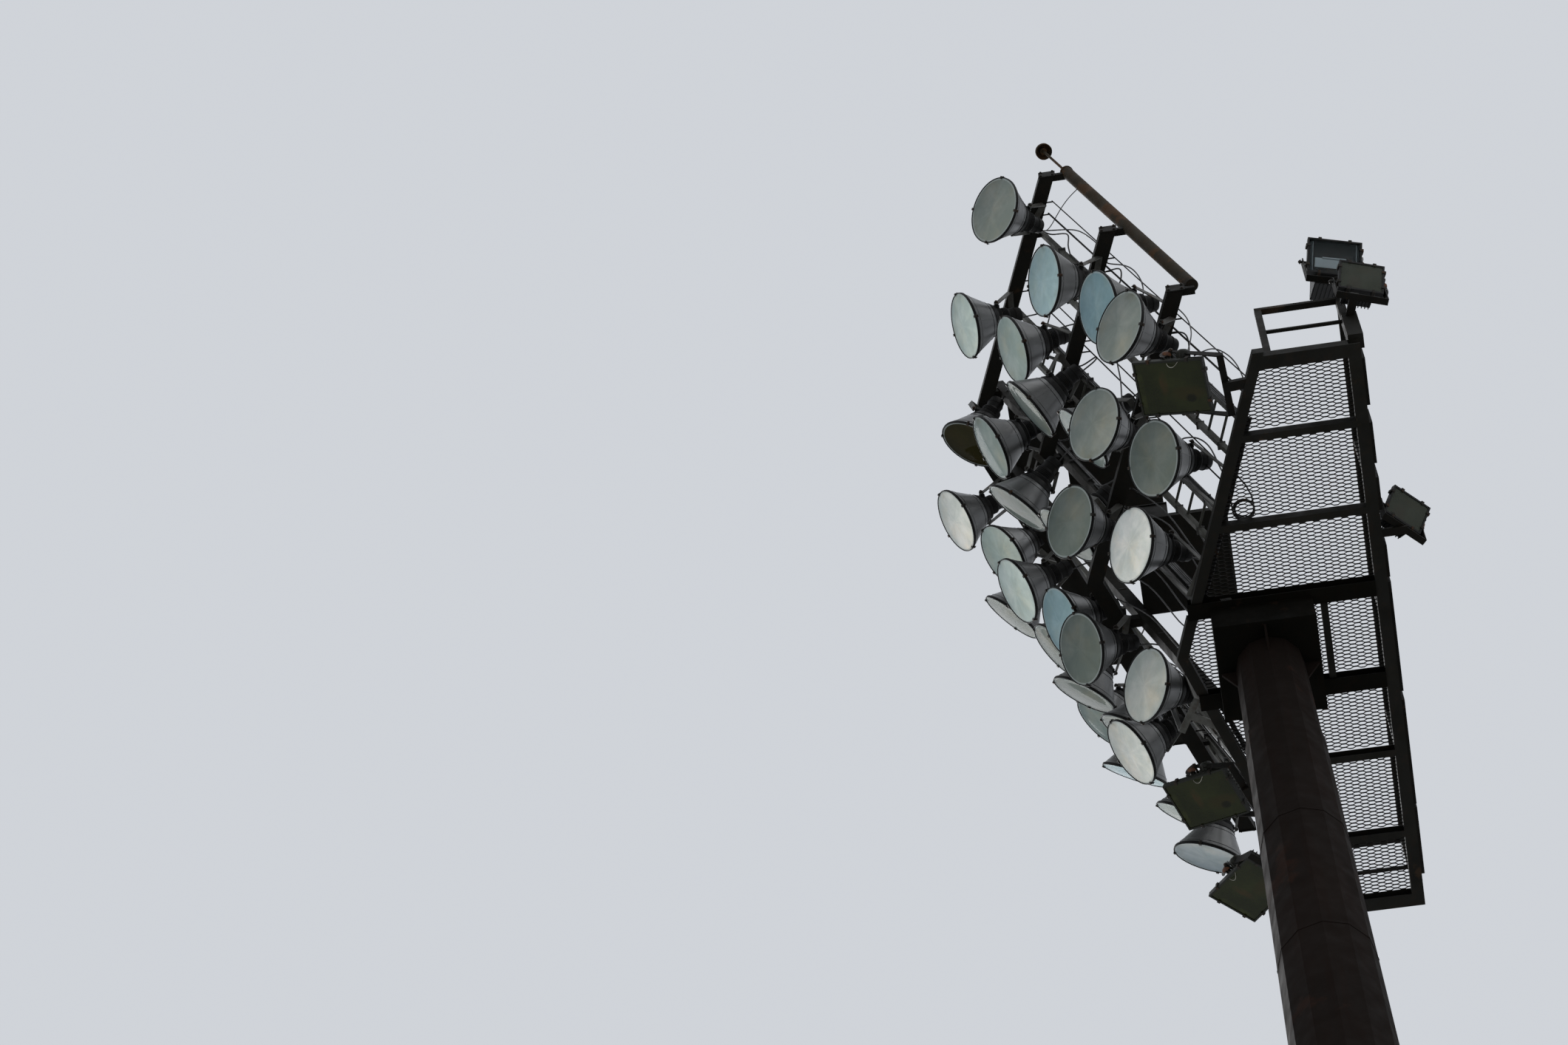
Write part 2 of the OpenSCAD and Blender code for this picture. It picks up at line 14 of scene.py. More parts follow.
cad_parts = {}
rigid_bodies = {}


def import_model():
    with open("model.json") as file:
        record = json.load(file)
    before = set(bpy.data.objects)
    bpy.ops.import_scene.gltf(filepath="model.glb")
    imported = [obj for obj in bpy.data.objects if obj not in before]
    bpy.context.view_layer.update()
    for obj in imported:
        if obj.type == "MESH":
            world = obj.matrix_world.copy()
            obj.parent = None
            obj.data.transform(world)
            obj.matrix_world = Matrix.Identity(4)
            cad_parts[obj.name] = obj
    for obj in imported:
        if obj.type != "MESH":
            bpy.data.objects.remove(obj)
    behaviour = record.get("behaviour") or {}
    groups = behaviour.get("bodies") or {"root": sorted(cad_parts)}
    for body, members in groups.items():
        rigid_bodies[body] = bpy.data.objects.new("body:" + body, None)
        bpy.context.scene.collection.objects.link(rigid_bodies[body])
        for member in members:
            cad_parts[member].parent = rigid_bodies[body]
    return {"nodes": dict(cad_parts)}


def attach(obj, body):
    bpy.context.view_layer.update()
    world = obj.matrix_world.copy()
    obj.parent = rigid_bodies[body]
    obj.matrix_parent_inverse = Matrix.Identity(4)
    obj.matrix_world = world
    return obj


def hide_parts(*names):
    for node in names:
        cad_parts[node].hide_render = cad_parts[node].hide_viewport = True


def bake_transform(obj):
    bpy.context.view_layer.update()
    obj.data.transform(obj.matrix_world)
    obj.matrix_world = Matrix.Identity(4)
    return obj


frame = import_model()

log = logging.getLogger("pylon")
logging.basicConfig(level=logging.INFO, format="%(name)s: %(message)s")

Colour = tuple[float, float, float]
Profile = Sequence[tuple[float, float]]
TOWER = "tower"
MM = 0.001
ON_AXIS = 1e-7
SHARP_EDGE = math.radians(40)
DUST: Colour = (0.20, 0.18, 0.15)


# Meshes


class Shape:
    """Collects the vertices, faces and marks of one piece."""

    def __init__(self) -> None:
        """Starts with nothing in it."""
        self.points: list[Vector] = []
        self.faces: list[tuple[int, ...]] = []
        self.finish_of: list[int] = []
        self.smooth: list[bool] = []
        self.local: list[tuple[float, float, float]] = []
        self.tone: list[tuple[float, float, float, float]] = []
        self.mark: tuple[float, float, float, float] = (0.5, 0.5, 0.5, 1.0)
        self.shift = 0.0

    def add(self, points: Iterable[Sequence[float]], faces: Iterable[Sequence[int]],
            at: Matrix | None = None, finish: int = 0, smooth: bool = False) -> None:
        """Adds one closed lump.

        Args:
            points: its corners in its own frame.
            faces: corner numbers of each face.
            at: where the lump's frame sits.
            finish: number of the material.
            smooth: whether it is shaded smooth.
        """
        start = len(self.points)
        for p in points:
            v = Vector(p)
            self.local.append((v.x, v.y, v.z + self.shift))
            self.points.append(at @ v if at is not None else v)
            self.tone.append(self.mark)
        for f in faces:
            self.faces.append(tuple(start + i for i in f))
            self.finish_of.append(finish)
            self.smooth.append(smooth)

    def lathe(self, profile: Profile, segments: int = 48, at: Matrix | None = None,
              finish: int = 0, smooth: bool = True) -> None:
        """Turns a closed outline, given as radius and height, about +Z.

        Args:
            profile: outline points; a radius of zero is a pole.
            segments: steps round the axis.
            at: where the turned part sits.
            finish: number of the material.
            smooth: whether it is shaded smooth.
        """
        points: list[tuple[float, float, float]] = []
        rings: list[list[int]] = []
        for r, z in profile:
            if r < ON_AXIS:
                rings.append([len(points)] * segments)
                points.append((0.0, 0.0, z))
                continue
            rings.append(list(range(len(points), len(points) + segments)))
            for k in range(segments):
                a = 2 * math.pi * k / segments
                points.append((r * math.cos(a), r * math.sin(a), z))
        faces = []
        for a, b in zip(rings, rings[1:] + rings[:1]):
            if a[0] == a[1] and b[0] == b[1]:
                continue
            for k in range(segments):
                n = (k + 1) % segments
                quad = [a[k], a[n], b[n], b[k]]
                faces.append(tuple(dict.fromkeys(quad)))
        self.add(points, faces, at, finish, smooth)

    def box(self, size: Sequence[float], at: Matrix, finish: int = 0, chamfer: float = 0.002) -> None:
        """Adds a block with its edges broken.

        Args:
            size: lengths along X, Y and Z.
            at: where its middle sits.
            finish: number of the material.
            chamfer: width of the broken edge.
        """
        h = [s / 2 for s in size]
        c = min(chamfer, min(h) * 0.45)
        points, index = [], {}
        for sx in (-1, 1):
            for sy in (-1, 1):
                for sz in (-1, 1):
                    for k in range(3):
                        p = [sx * h[0], sy * h[1], sz * h[2]]
                        for j in range(3):
                            if j != k:
                                p[j] -= (sx, sy, sz)[j] * c
                        index[(sx, sy, sz, k)] = len(points)
                        points.append(p)
        faces = []
        for k in range(3):
            a, b = [j for j in range(3) if j != k]
            for s in (-1, 1):
                ring = []
                for u, v in ((-1, -1), (1, -1), (1, 1), (-1, 1)):
                    sign = [0, 0, 0]
                    sign[k], sign[a], sign[b] = s, u, v
                    ring.append(index[(*sign, k)])
                faces.append(ring)
            for u in (-1, 1):
                for v in (-1, 1):
                    low, high = [0, 0, 0], [0, 0, 0]
                    low[k], high[k] = -1, 1
                    low[a] = high[a] = u
                    low[b] = high[b] = v
                    faces.append([index[(*low, a)], index[(*high, a)], index[(*high, b)], index[(*low, b)]])
        for sx in (-1, 1):
            for sy in (-1, 1):
                for sz in (-1, 1):
                    faces.append([index[(sx, sy, sz, k)] for k in range(3)])
        self.add(points, faces, at, finish)

    def prism(self, outline: Profile, depth: float, at: Matrix, finish: int = 0) -> None:
        """Adds a flat plate with the given outline in its XY plane.

        Args:
            outline: corners of the plate.
            depth: thickness along +Z.
            at: where the plate's frame sits.
            finish: number of the material.
        """
        n = len(outline)
        points = [(x, y, 0.0) for x, y in outline] + [(x, y, depth) for x, y in outline]
        faces = [list(range(n))[::-1], list(range(n, 2 * n))]
        faces += [[k, (k + 1) % n, n + (k + 1) % n, n + k] for k in range(n)]
        self.add(points, faces, at, finish)

    def tube(self, path: Sequence[Vector], radius: float, sides: int = 6, finish: int = 0,
             smooth: bool = True) -> None:
        """Sweeps a round section along a path and closes its ends.

        Args:
            path: points along the middle.
            radius: of the section.
            sides: of the section.
            finish: number of the material.
            smooth: whether it is shaded smooth.
        """
        path = [Vector(p) for p in path]
        last = len(path) - 1
        ahead = [(path[min(i + 1, last)] - path[max(i - 1, 0)]).normalized() for i in range(last + 1)]
        side = ahead[0].orthogonal().normalized()
        points, faces = [], []
        for p, d in zip(path, ahead):
            side = (side - d * side.dot(d)).normalized()
            up = d.cross(side)
            for k in range(sides):
                a = 2 * math.pi * k / sides
                points.append(p + (side * math.cos(a) + up * math.sin(a)) * radius)
        for i in range(last):
            for k in range(sides):
                n = (k + 1) % sides
                faces.append((i * sides + k, i * sides + n, (i + 1) * sides + n, (i + 1) * sides + k))
        faces.append(tuple(range(sides))[::-1])
        faces.append(tuple(range(last * sides, (last + 1) * sides)))
        self.add(points, faces, None, finish, smooth)

    def bolt(self, at: Matrix, across: float = 0.024, head: float = 0.010, finish: int = 0) -> None:
        """Adds a hexagon head on a washer, standing on the XY plane of its frame.

        Args:
            at: where the bolt's frame sits, its axis along +Z.
            across: width over the flats of the head.
            head: height of the head.
            finish: number of the material.
        """
        r, washer, tip = across / 2, across * 0.1, head * 1.45
        self.lathe([(0, 0), (r * 1.3, 0), (r * 1.3, washer), (0, washer)], 12, at, finish, False)
        self.lathe([(0, washer), (r * 1.15, washer), (r * 1.15, head * 0.85), (r * 0.95, head), (0, head)],
                   6, at, finish, False)
        self.lathe([(0, head), (r * 0.6, head), (r * 0.55, tip), (0, tip)], 8, at, finish, True)

    def piece(self, name: str, finishes: Sequence[bpy.types.Material], body: str | None,
              replaces: Sequence[str] = ()) -> bpy.types.Object:
        """Makes the object, with its marks, and rides it on a body.

        Args:
            name: of the piece.
            finishes: materials by number.
            body: CAD body it moves with, or None to leave it on no body.
            replaces: CAD nodes it stands for.

        Returns:
            The new object.
        """
        mesh = bpy.data.meshes.new(name)
        mesh.from_pydata([tuple(p) for p in self.points], [], self.faces)
        for m in finishes:
            mesh.materials.append(m)
        mesh.polygons.foreach_set("material_index", self.finish_of)
        mesh.polygons.foreach_set("use_smooth", self.smooth)
        place = mesh.attributes.new("local_place", "FLOAT_VECTOR", "POINT")
        place.data.foreach_set("vector", [c for p in self.local for c in p])
        tone = mesh.attributes.new("tone", "FLOAT_COLOR", "POINT")
        tone.data.foreach_set("color", [c for t in self.tone for c in t])
        form = bmesh.new()
        form.from_mesh(mesh)
        bmesh.ops.recalc_face_normals(form, faces=form.faces)
        form.to_mesh(mesh)
        form.free()
        mesh.set_sharp_from_angle(angle=SHARP_EDGE)
        mesh.update()
        thing = bpy.data.objects.new(name, mesh)
        bpy.context.scene.collection.objects.link(thing)
        if body is not None:
            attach(thing, body)
        if replaces:
            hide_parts(*replaces)
        return thing


def spot(x: float, y: float, z: float, rot: Matrix | None = None) -> Matrix:
    """Frame at a point in metres, turned by rot when given."""
    return Matrix.Translation((x, y, z)) @ (rot if rot is not None else Matrix.Identity(4))


def turn(degrees: float, axis: str) -> Matrix:
    """Rotation about a main axis."""
    return Matrix.Rotation(math.radians(degrees), 4, axis)


def smooth_path(points: Sequence[Vector], steps: int = 6) -> list[Vector]:
    """Rounds a path through its points.

    Args:
        points: the points it passes.
        steps: new points for each stretch.

    Returns:
        The finer path.
    """
    pts = [Vector(p) for p in points]
    pts = [pts[0] * 2 - pts[1]] + pts + [pts[-1] * 2 - pts[-2]]
    out = []
    for i in range(1, len(pts) - 2):
        a, b, c, d = pts[i - 1:i + 3]
        for k in range(steps):
            t = k / steps
            out.append(0.5 * (2 * b + (c - a) * t + (2 * a - 5 * b + 4 * c - d) * t * t
                              + (3 * b - a - 3 * c + d) * t ** 3))
    out.append(pts[-2])
    return out


def eased_path(points: Sequence[Vector], rounds: int = 24) -> list[Vector]:
    """Spaces a path evenly and takes its tight bends out, as a stiff cable would.

    Args:
        points: the path.
        rounds: how often each point is moved towards its neighbours.

    Returns:
        The eased path, with the same ends.
    """
    long = sum((b - a).length for a, b in zip(points, points[1:]))
    count = int(min(40, max(16, long / .022)))
    out, walked, i = [points[0].copy()], 0.0, 0
    for k in range(1, count):
        goal = long * k / count
        while walked + (points[i + 1] - points[i]).length < goal:
            walked += (points[i + 1] - points[i]).length
            i += 1
        out.append(points[i].lerp(points[i + 1], (goal - walked) / (points[i + 1] - points[i]).length))
    out.append(points[-1].copy())
    for _ in range(rounds):
        moved = [(a + 2 * b + c) / 4 for a, b, c in zip(out, out[1:], out[2:])]
        out = out[:2] + moved[1:-1] + out[-2:]
    return out


# Shared shader groups


class Sockets(Enum):
    """Kinds of socket that the shared groups use."""

    NUMBER = "NodeSocketFloat"
    COLOUR = "NodeSocketColor"
    VECTOR = "NodeSocketVector"


@dataclass
class Group:
    """One shader node group with named inputs and outputs, built once."""

    name: str
    inputs: Sequence[tuple[str, Sockets, object]]
    outputs: Sequence[tuple[str, Sockets]]
    tree: bpy.types.NodeTree = field(init=False)
    start: bpy.types.Node = field(init=False)
    end: bpy.types.Node = field(init=False)

    def __post_init__(self) -> None:
        """Makes the empty tree with its sockets."""
        self.tree = bpy.data.node_groups.new(self.name, "ShaderNodeTree")
        for name, kind, value in self.inputs:
            made = self.tree.interface.new_socket(name=name, in_out="INPUT", socket_type=kind.value)
            if value is not None:
                made.default_value = value
        for name, kind in self.outputs:
            self.tree.interface.new_socket(name=name, in_out="OUTPUT", socket_type=kind.value)
        self.start = self.tree.nodes.new("NodeGroupInput")
        self.end = self.tree.nodes.new("NodeGroupOutput")

    def give(self, **values: bpy.types.NodeSocket) -> None:
        """Links sockets to the outputs of the same names."""
        for name, value in values.items():
            self.tree.links.new(value, self.end.inputs[name])


def add_node(tree: bpy.types.NodeTree, kind: str, **settings: object) -> bpy.types.Node:
    """Adds a node and sets its properties.

    Args:
        tree: the tree it goes in.
        kind: short node type, without the ShaderNode prefix.
        settings: property names and values.

    Returns:
        The new node.
    """
    made = tree.nodes.new("ShaderNode" + kind)
    for key, value in settings.items():
        setattr(made, key, value)
    return made


def feed(tree: bpy.types.NodeTree, value: object, socket: bpy.types.NodeSocket) -> None:
    """Links a value to an input, or sets it there when it is a plain number.

    Args:
        tree: the tree of both nodes.
        value: output socket of another node, or a number.
        socket: the input.
    """
    if isinstance(value, bpy.types.NodeSocket):
        tree.links.new(value, socket)
    else:
        socket.default_value = value


def add_math(tree: bpy.types.NodeTree, operation: str, a: object, b: object = 0.0,
             clamp: bool = False) -> bpy.types.NodeSocket:
    """Adds a sum on one or two numbers.

    Args:
        tree: the tree it goes in.
        operation: name of the sum.
        a: first number or socket.
        b: second number or socket.
        clamp: whether the result is kept from 0 to 1.

    Returns:
        The result.
    """
    made = add_node(tree, "Math", operation=operation, use_clamp=clamp)
    feed(tree, a, made.inputs[0])
    feed(tree, b, made.inputs[1])
    return made.outputs[0]


def add_noise(tree: bpy.types.NodeTree, vector: bpy.types.NodeSocket, scale: object, detail: float,
              roughness: float = 0.5) -> bpy.types.NodeSocket:
    """Adds a cloudy noise.

    Args:
        tree: the tree it goes in.
        vector: coordinates for it.
        scale: number or socket.
        detail: how many finer layers it has.
        roughness: how strong the finer layers are.

    Returns:
        The noise.
    """
    made = add_node(tree, "TexNoise")
    tree.links.new(vector, made.inputs["Vector"])
    feed(tree, scale, made.inputs["Scale"])
    made.inputs["Detail"].default_value = detail
    made.inputs["Roughness"].default_value = roughness
    return made.outputs["Fac"]


def add_step(tree: bpy.types.NodeTree, value: bpy.types.NodeSocket, low: object, high: object,
             least: float = 0.0, most: float = 1.0, soft: bool = True) -> bpy.types.NodeSocket:
    """Adds a step from one level to another.

    Args:
        tree: the tree it goes in.
        value: what it steps on.
        low: where the step starts, a number or socket.
        high: where the step ends, a number or socket.
        least: level before the step.
        most: level after the step.
        soft: whether the step is rounded at both ends.

    Returns:
        The level.
    """
    made = add_node(tree, "MapRange", clamp=True, interpolation_type="SMOOTHSTEP" if soft else "LINEAR")
    tree.links.new(value, made.inputs["Value"])
    for name, level in (("From Min", low), ("From Max", high), ("To Min", least), ("To Max", most)):
        feed(tree, level, made.inputs[name])
    return made.outputs["Result"]


def add_split(tree: bpy.types.NodeTree, vector: bpy.types.NodeSocket) -> bpy.types.NodeOutputs:
    """Adds a node that takes a vector apart.

    Args:
        tree: the tree it goes in.
        vector: the vector.

    Returns:
        Its parts, by the names X, Y and Z.
    """
    made = add_node(tree, "SeparateXYZ")
    tree.links.new(vector, made.inputs[0])
    return made.outputs


def add_join(tree: bpy.types.NodeTree, x: object, y: object, z: object) -> bpy.types.NodeSocket:
    """Adds a node that makes a vector.

    Args:
        tree: the tree it goes in.
        x: number or socket.
        y: number or socket.
        z: number or socket.

    Returns:
        The vector.
    """
    made = add_node(tree, "CombineXYZ")
    for value, socket in zip((x, y, z), made.inputs):
        feed(tree, value, socket)
    return made.outputs[0]


def patches_group() -> Group:
    """Soft patches of dirt, rust or fading, as a mask.

    Returns:
        The group.
    """
    g = Group("surface_patches",
              [("Vector", Sockets.VECTOR, None), ("Scale", Sockets.NUMBER, 3.0),
               ("Amount", Sockets.NUMBER, 0.4), ("Edge", Sockets.NUMBER, 0.12)],
              [("Mask", Sockets.NUMBER)])
    given = g.start.outputs
    cloud = add_noise(g.tree, given["Vector"], given["Scale"], 8.0, 0.62)
    low = add_math(g.tree, "SUBTRACT", 0.72, add_math(g.tree, "MULTIPLY", given["Amount"], 0.5))
    high = add_math(g.tree, "ADD", low, given["Edge"])
    g.give(Mask=add_step(g.tree, cloud, low, high))
    return g


def streaks_group() -> Group:
    """Runs of dirt or rust down a surface, as a mask.

    Returns:
        The group.
    """
    g = Group("rain_streaks",
              [("Vector", Sockets.VECTOR, None), ("Scale", Sockets.NUMBER, 14.0),
               ("Length", Sockets.NUMBER, 12.0), ("Amount", Sockets.NUMBER, 0.5)],
              [("Mask", Sockets.NUMBER)])
    given = g.start.outputs
    split = add_split(g.tree, given["Vector"])
    shorter = add_math(g.tree, "DIVIDE", split["Z"], given["Length"])
    long_way = add_join(g.tree, split["X"], split["Y"], shorter)
    runs = add_step(g.tree, add_noise(g.tree, long_way, given["Scale"], 5.0), 0.48, 0.70)
    g.give(Mask=add_math(g.tree, "MULTIPLY", runs, given["Amount"]))
    return g


def grain_group() -> Group:
    """Fine unevenness of paint or metal, as a height and a small change of roughness.

    Returns:
        The group.
    """
    g = Group("fine_grain",
              [("Vector", Sockets.VECTOR, None), ("Scale", Sockets.NUMBER, 180.0),
               ("Rough", Sockets.NUMBER, 0.5)],
              [("Height", Sockets.NUMBER), ("Roughness", Sockets.NUMBER)])
    given = g.start.outputs
    broad = add_noise(g.tree, given["Vector"], 7.0, 4.0)
    change = add_step(g.tree, broad, 0.3, 0.7, -0.1, 0.12, soft=False)
    g.give(Height=add_noise(g.tree, given["Vector"], given["Scale"], 6.0),
           Roughness=add_math(g.tree, "ADD", given["Rough"], change, clamp=True))
    return g


def radial_group() -> Group:
    """Soft runs that fan out from the axis of a turned part, as a mask.

    Returns:
        The group.
    """
    g = Group("radial_runs",
              [("Vector", Sockets.VECTOR, None), ("Turns", Sockets.NUMBER, 3.0),
               ("Along", Sockets.NUMBER, 1.0), ("Amount", Sockets.NUMBER, 0.5)],
              [("Mask", Sockets.NUMBER)])
    given = g.start.outputs
    split = add_split(g.tree, given["Vector"])
    unit = add_node(g.tree, "VectorMath", operation="NORMALIZE")
    feed(g.tree, add_join(g.tree, split["X"], split["Y"], 0.0), unit.inputs[0])
    wide = add_node(g.tree, "VectorMath", operation="SCALE")
    feed(g.tree, unit.outputs["Vector"], wide.inputs[0])
    feed(g.tree, given["Turns"], wide.inputs["Scale"])
    height = add_math(g.tree, "MULTIPLY", split["Z"], given["Along"])
    place = add_node(g.tree, "VectorMath", operation="ADD")
    feed(g.tree, wide.outputs["Vector"], place.inputs[0])
    feed(g.tree, add_join(g.tree, 0.0, 0.0, height), place.inputs[1])
    runs = add_step(g.tree, add_noise(g.tree, place.outputs["Vector"], 1.0, 4.0), 0.40, 0.66)
    g.give(Mask=add_math(g.tree, "MULTIPLY", runs, given["Amount"]))
    return g


def settled_dust_group() -> Group:
    """Dust that settles on faces turned up, as a mask.

    Returns:
        The group.
    """
    g = Group("settled_dust",
              [("Vector", Sockets.VECTOR, None), ("Amount", Sockets.NUMBER, 0.4)],
              [("Mask", Sockets.NUMBER)])
    given = g.start.outputs
    shape = add_node(g.tree, "NewGeometry")
    up = add_step(g.tree, add_split(g.tree, shape.outputs["Normal"])["Z"], 0.2, 0.95, soft=False)
    broken = add_math(g.tree, "MULTIPLY", up, add_noise(g.tree, given["Vector"], 9.0, 6.0))
    g.give(Mask=add_math(g.tree, "MULTIPLY", broken, given["Amount"], clamp=True))
    return g


class Place(Enum):
    """Where a pattern takes its coordinates from."""

    OBJECT = "object"
    PART = "part"


class Library:
    """The shared groups, and the building blocks that the finishes use."""

    def __init__(self) -> None:
        """Builds each group once."""
        self.patches = patches_group()
        self.streaks = streaks_group()
        self.grain = grain_group()
        self.radial = radial_group()
        self.dust = settled_dust_group()

    def begin(self, name: str) -> tuple[bpy.types.Material, bpy.types.NodeTree, bpy.types.Node]:
        """Makes a material.

        Args:
            name: of the material.

        Returns:
            The material, its tree and its Principled node.
        """
        made = bpy.data.materials.new(name)
        made.use_nodes = True
        tree = made.node_tree
        return made, tree, tree.nodes["Principled BSDF"]

    def place(self, tree: bpy.types.NodeTree, where: Place) -> bpy.types.NodeSocket:
        """Coordinates for a pattern.

        Args:
            tree: of the material.
            where: on the whole object or on the single part.

        Returns:
            The coordinates.
        """
        if where is Place.PART:
            return add_node(tree, "Attribute", attribute_name="local_place").outputs["Vector"]
        return add_node(tree, "TexCoord").outputs["Object"]

    def use(self, tree: bpy.types.NodeTree, group: Group, vector: bpy.types.NodeSocket,
            **values: float) -> bpy.types.Node:
        """Places a group.

        Args:
            tree: of the material.
            group: the shared group.
            vector: coordinates for it.
            values: numbers for its inputs.

        Returns:
            The group node.
        """
        made = add_node(tree, "Group", node_tree=group.tree)
        tree.links.new(vector, made.inputs["Vector"])
        for key, value in values.items():
            made.inputs[key].default_value = value
        return made

    def mix(self, tree: bpy.types.NodeTree, mask: bpy.types.NodeSocket, a: object,
            b: object) -> bpy.types.NodeSocket:
        """Mixes two colours, or sockets that give one, by a mask.

        Args:
            tree: of the material.
            mask: how much of the second.
            a: first colour.
            b: second colour.

        Returns:
            The mixed colour.
        """
        made = add_node(tree, "Mix", data_type="RGBA")
        tree.links.new(mask, made.inputs["Factor"])
        for value, socket in ((a, made.inputs["A"]), (b, made.inputs["B"])):
            feed(tree, value if isinstance(value, bpy.types.NodeSocket) else (*value, 1.0), socket)
        return made.outputs["Result"]

    def bump(self, tree: bpy.types.NodeTree, height: bpy.types.NodeSocket, shader: bpy.types.Node,
             strength: float, distance: float) -> None:
        """Feeds a height to the shader's normal.

        Args:
            tree: of the material.
            height: the height.
            shader: the Principled node.
            strength: how much of it shows.
            distance: its depth in metres.
        """
        made = add_node(tree, "Bump")
        made.inputs["Strength"].default_value = strength
        made.inputs["Distance"].default_value = distance
        tree.links.new(height, made.inputs["Height"])
        tree.links.new(made.outputs["Normal"], shader.inputs["Normal"])


# Finishes


@dataclass(frozen=True)
class SteelFinish:
    """Weathered paint or bare metal with patches, rust and runs."""

    name: str
    paint: Colour
    faded: Colour
    rust: Colour
    rough: float = 0.6
    metal: float = 0.0
    rust_amount: float = 0.25
    rust_scale: float = 3.0
    fade_scale: float = 0.8
    runs: float = 0.4
    dust: float = 0.25
    grain: float = 160.0
    bump: float = 0.25
    shine: float = 0.18
    place: Place = Place.OBJECT

    def build(self, lib: Library) -> bpy.types.Material:
        """Makes the material.

        Args:
            lib: the shared groups.

        Returns:
            The material.
        """
        made, tree, shader = lib.begin(self.name)
        where = lib.place(tree, self.place)
        fade = lib.use(tree, lib.patches, where, Scale=self.fade_scale, Amount=0.55, Edge=0.3)
        colour = lib.mix(tree, fade.outputs["Mask"], self.paint, self.faded)
        runs = lib.use(tree, lib.streaks, where, Scale=16.0, Length=14.0, Amount=self.runs)
        colour = lib.mix(tree, runs.outputs["Mask"], colour, tuple(c * 0.55 for c in self.rust))
        rust = lib.use(tree, lib.patches, where, Scale=self.rust_scale, Amount=self.rust_amount, Edge=0.06)
        colour = lib.mix(tree, rust.outputs["Mask"], colour, self.rust)
        dust = lib.use(tree, lib.dust, where, Amount=self.dust)
        colour = lib.mix(tree, dust.outputs["Mask"], colour, DUST)
        tree.links.new(colour, shader.inputs["Base Color"])
        grain = lib.use(tree, lib.grain, where, Scale=self.grain, Rough=self.rough)
        tree.links.new(grain.outputs["Roughness"], shader.inputs["Roughness"])
        shader.inputs["Metallic"].default_value = self.metal
        shader.inputs["Specular IOR Level"].default_value = self.shine
        lib.bump(tree, grain.outputs["Height"], shader, self.bump, 0.002)
        return made


@dataclass(frozen=True)
class ReflectorFinish:
    """Inside of a projector's reflector: bright, with radial runs."""

    name: str
    bright: Colour
    dull: Colour
    rough: float = 0.32

    def build(self, lib: Library) -> bpy.types.Material:
        """Makes the material.

        Args:
            lib: the shared groups.

        Returns:
            The material.
        """
        made, tree, shader = lib.begin(self.name)
        where = lib.place(tree, Place.PART)
        runs = lib.use(tree, lib.radial, where, Turns=3.5, Along=1.0, Amount=1.0)
        colour = lib.mix(tree, runs.outputs["Mask"], self.bright, self.dull)
        tree.links.new(colour, shader.inputs["Base Color"])
        grain = lib.use(tree, lib.grain, where, Scale=120.0, Rough=self.rough)
        tree.links.new(grain.outputs["Roughness"], shader.inputs["Roughness"])
        shader.inputs["Metallic"].default_value = 0.7
        return made


@dataclass(frozen=True)
class BowlFinish:
    """Spun bowl seen from outside: dull metal, soft runs from neck to rim, some of them rusty."""

    name: str
    metal: Colour
    shade: Colour
    warm: Colour
    rough: float = 0.42

    def build(self, lib: Library) -> bpy.types.Material:
        """Makes the material.

        Args:
            lib: the shared groups.

        Returns:
            The material.
        """
        made, tree, shader = lib.begin(self.name)
        where = lib.place(tree, Place.PART)
        each = lib.use(tree, lib.patches, where, Scale=0.9, Amount=0.5, Edge=0.45)
        colour = lib.mix(tree, each.outputs["Mask"], self.metal, self.shade)
        runs = lib.use(tree, lib.radial, where, Turns=1.7, Along=2.6, Amount=0.5)
        colour = lib.mix(tree, runs.outputs["Mask"], colour, self.shade)
        worn = lib.use(tree, lib.patches, where, Scale=1.7, Amount=0.5, Edge=0.4)
        rusty = add_math(tree, "MULTIPLY", worn.outputs["Mask"], runs.outputs["Mask"])
        colour = lib.mix(tree, rusty, colour, self.warm)
        dust = lib.use(tree, lib.dust, where, Amount=0.3)
        colour = lib.mix(tree, dust.outputs["Mask"], colour, DUST)
        tree.links.new(colour, shader.inputs["Base Color"])
        grain = lib.use(tree, lib.grain, where, Scale=90.0, Rough=self.rough)
        tree.links.new(grain.outputs["Roughness"], shader.inputs["Roughness"])
        shader.inputs["Metallic"].default_value = 0.5
        shader.inputs["Specular IOR Level"].default_value = 0.5
        shader.inputs["Coat Weight"].default_value = 0.3
        shader.inputs["Coat Roughness"].default_value = 0.3
        lib.bump(tree, grain.outputs["Height"], shader, 0.06, 0.001)
        return made


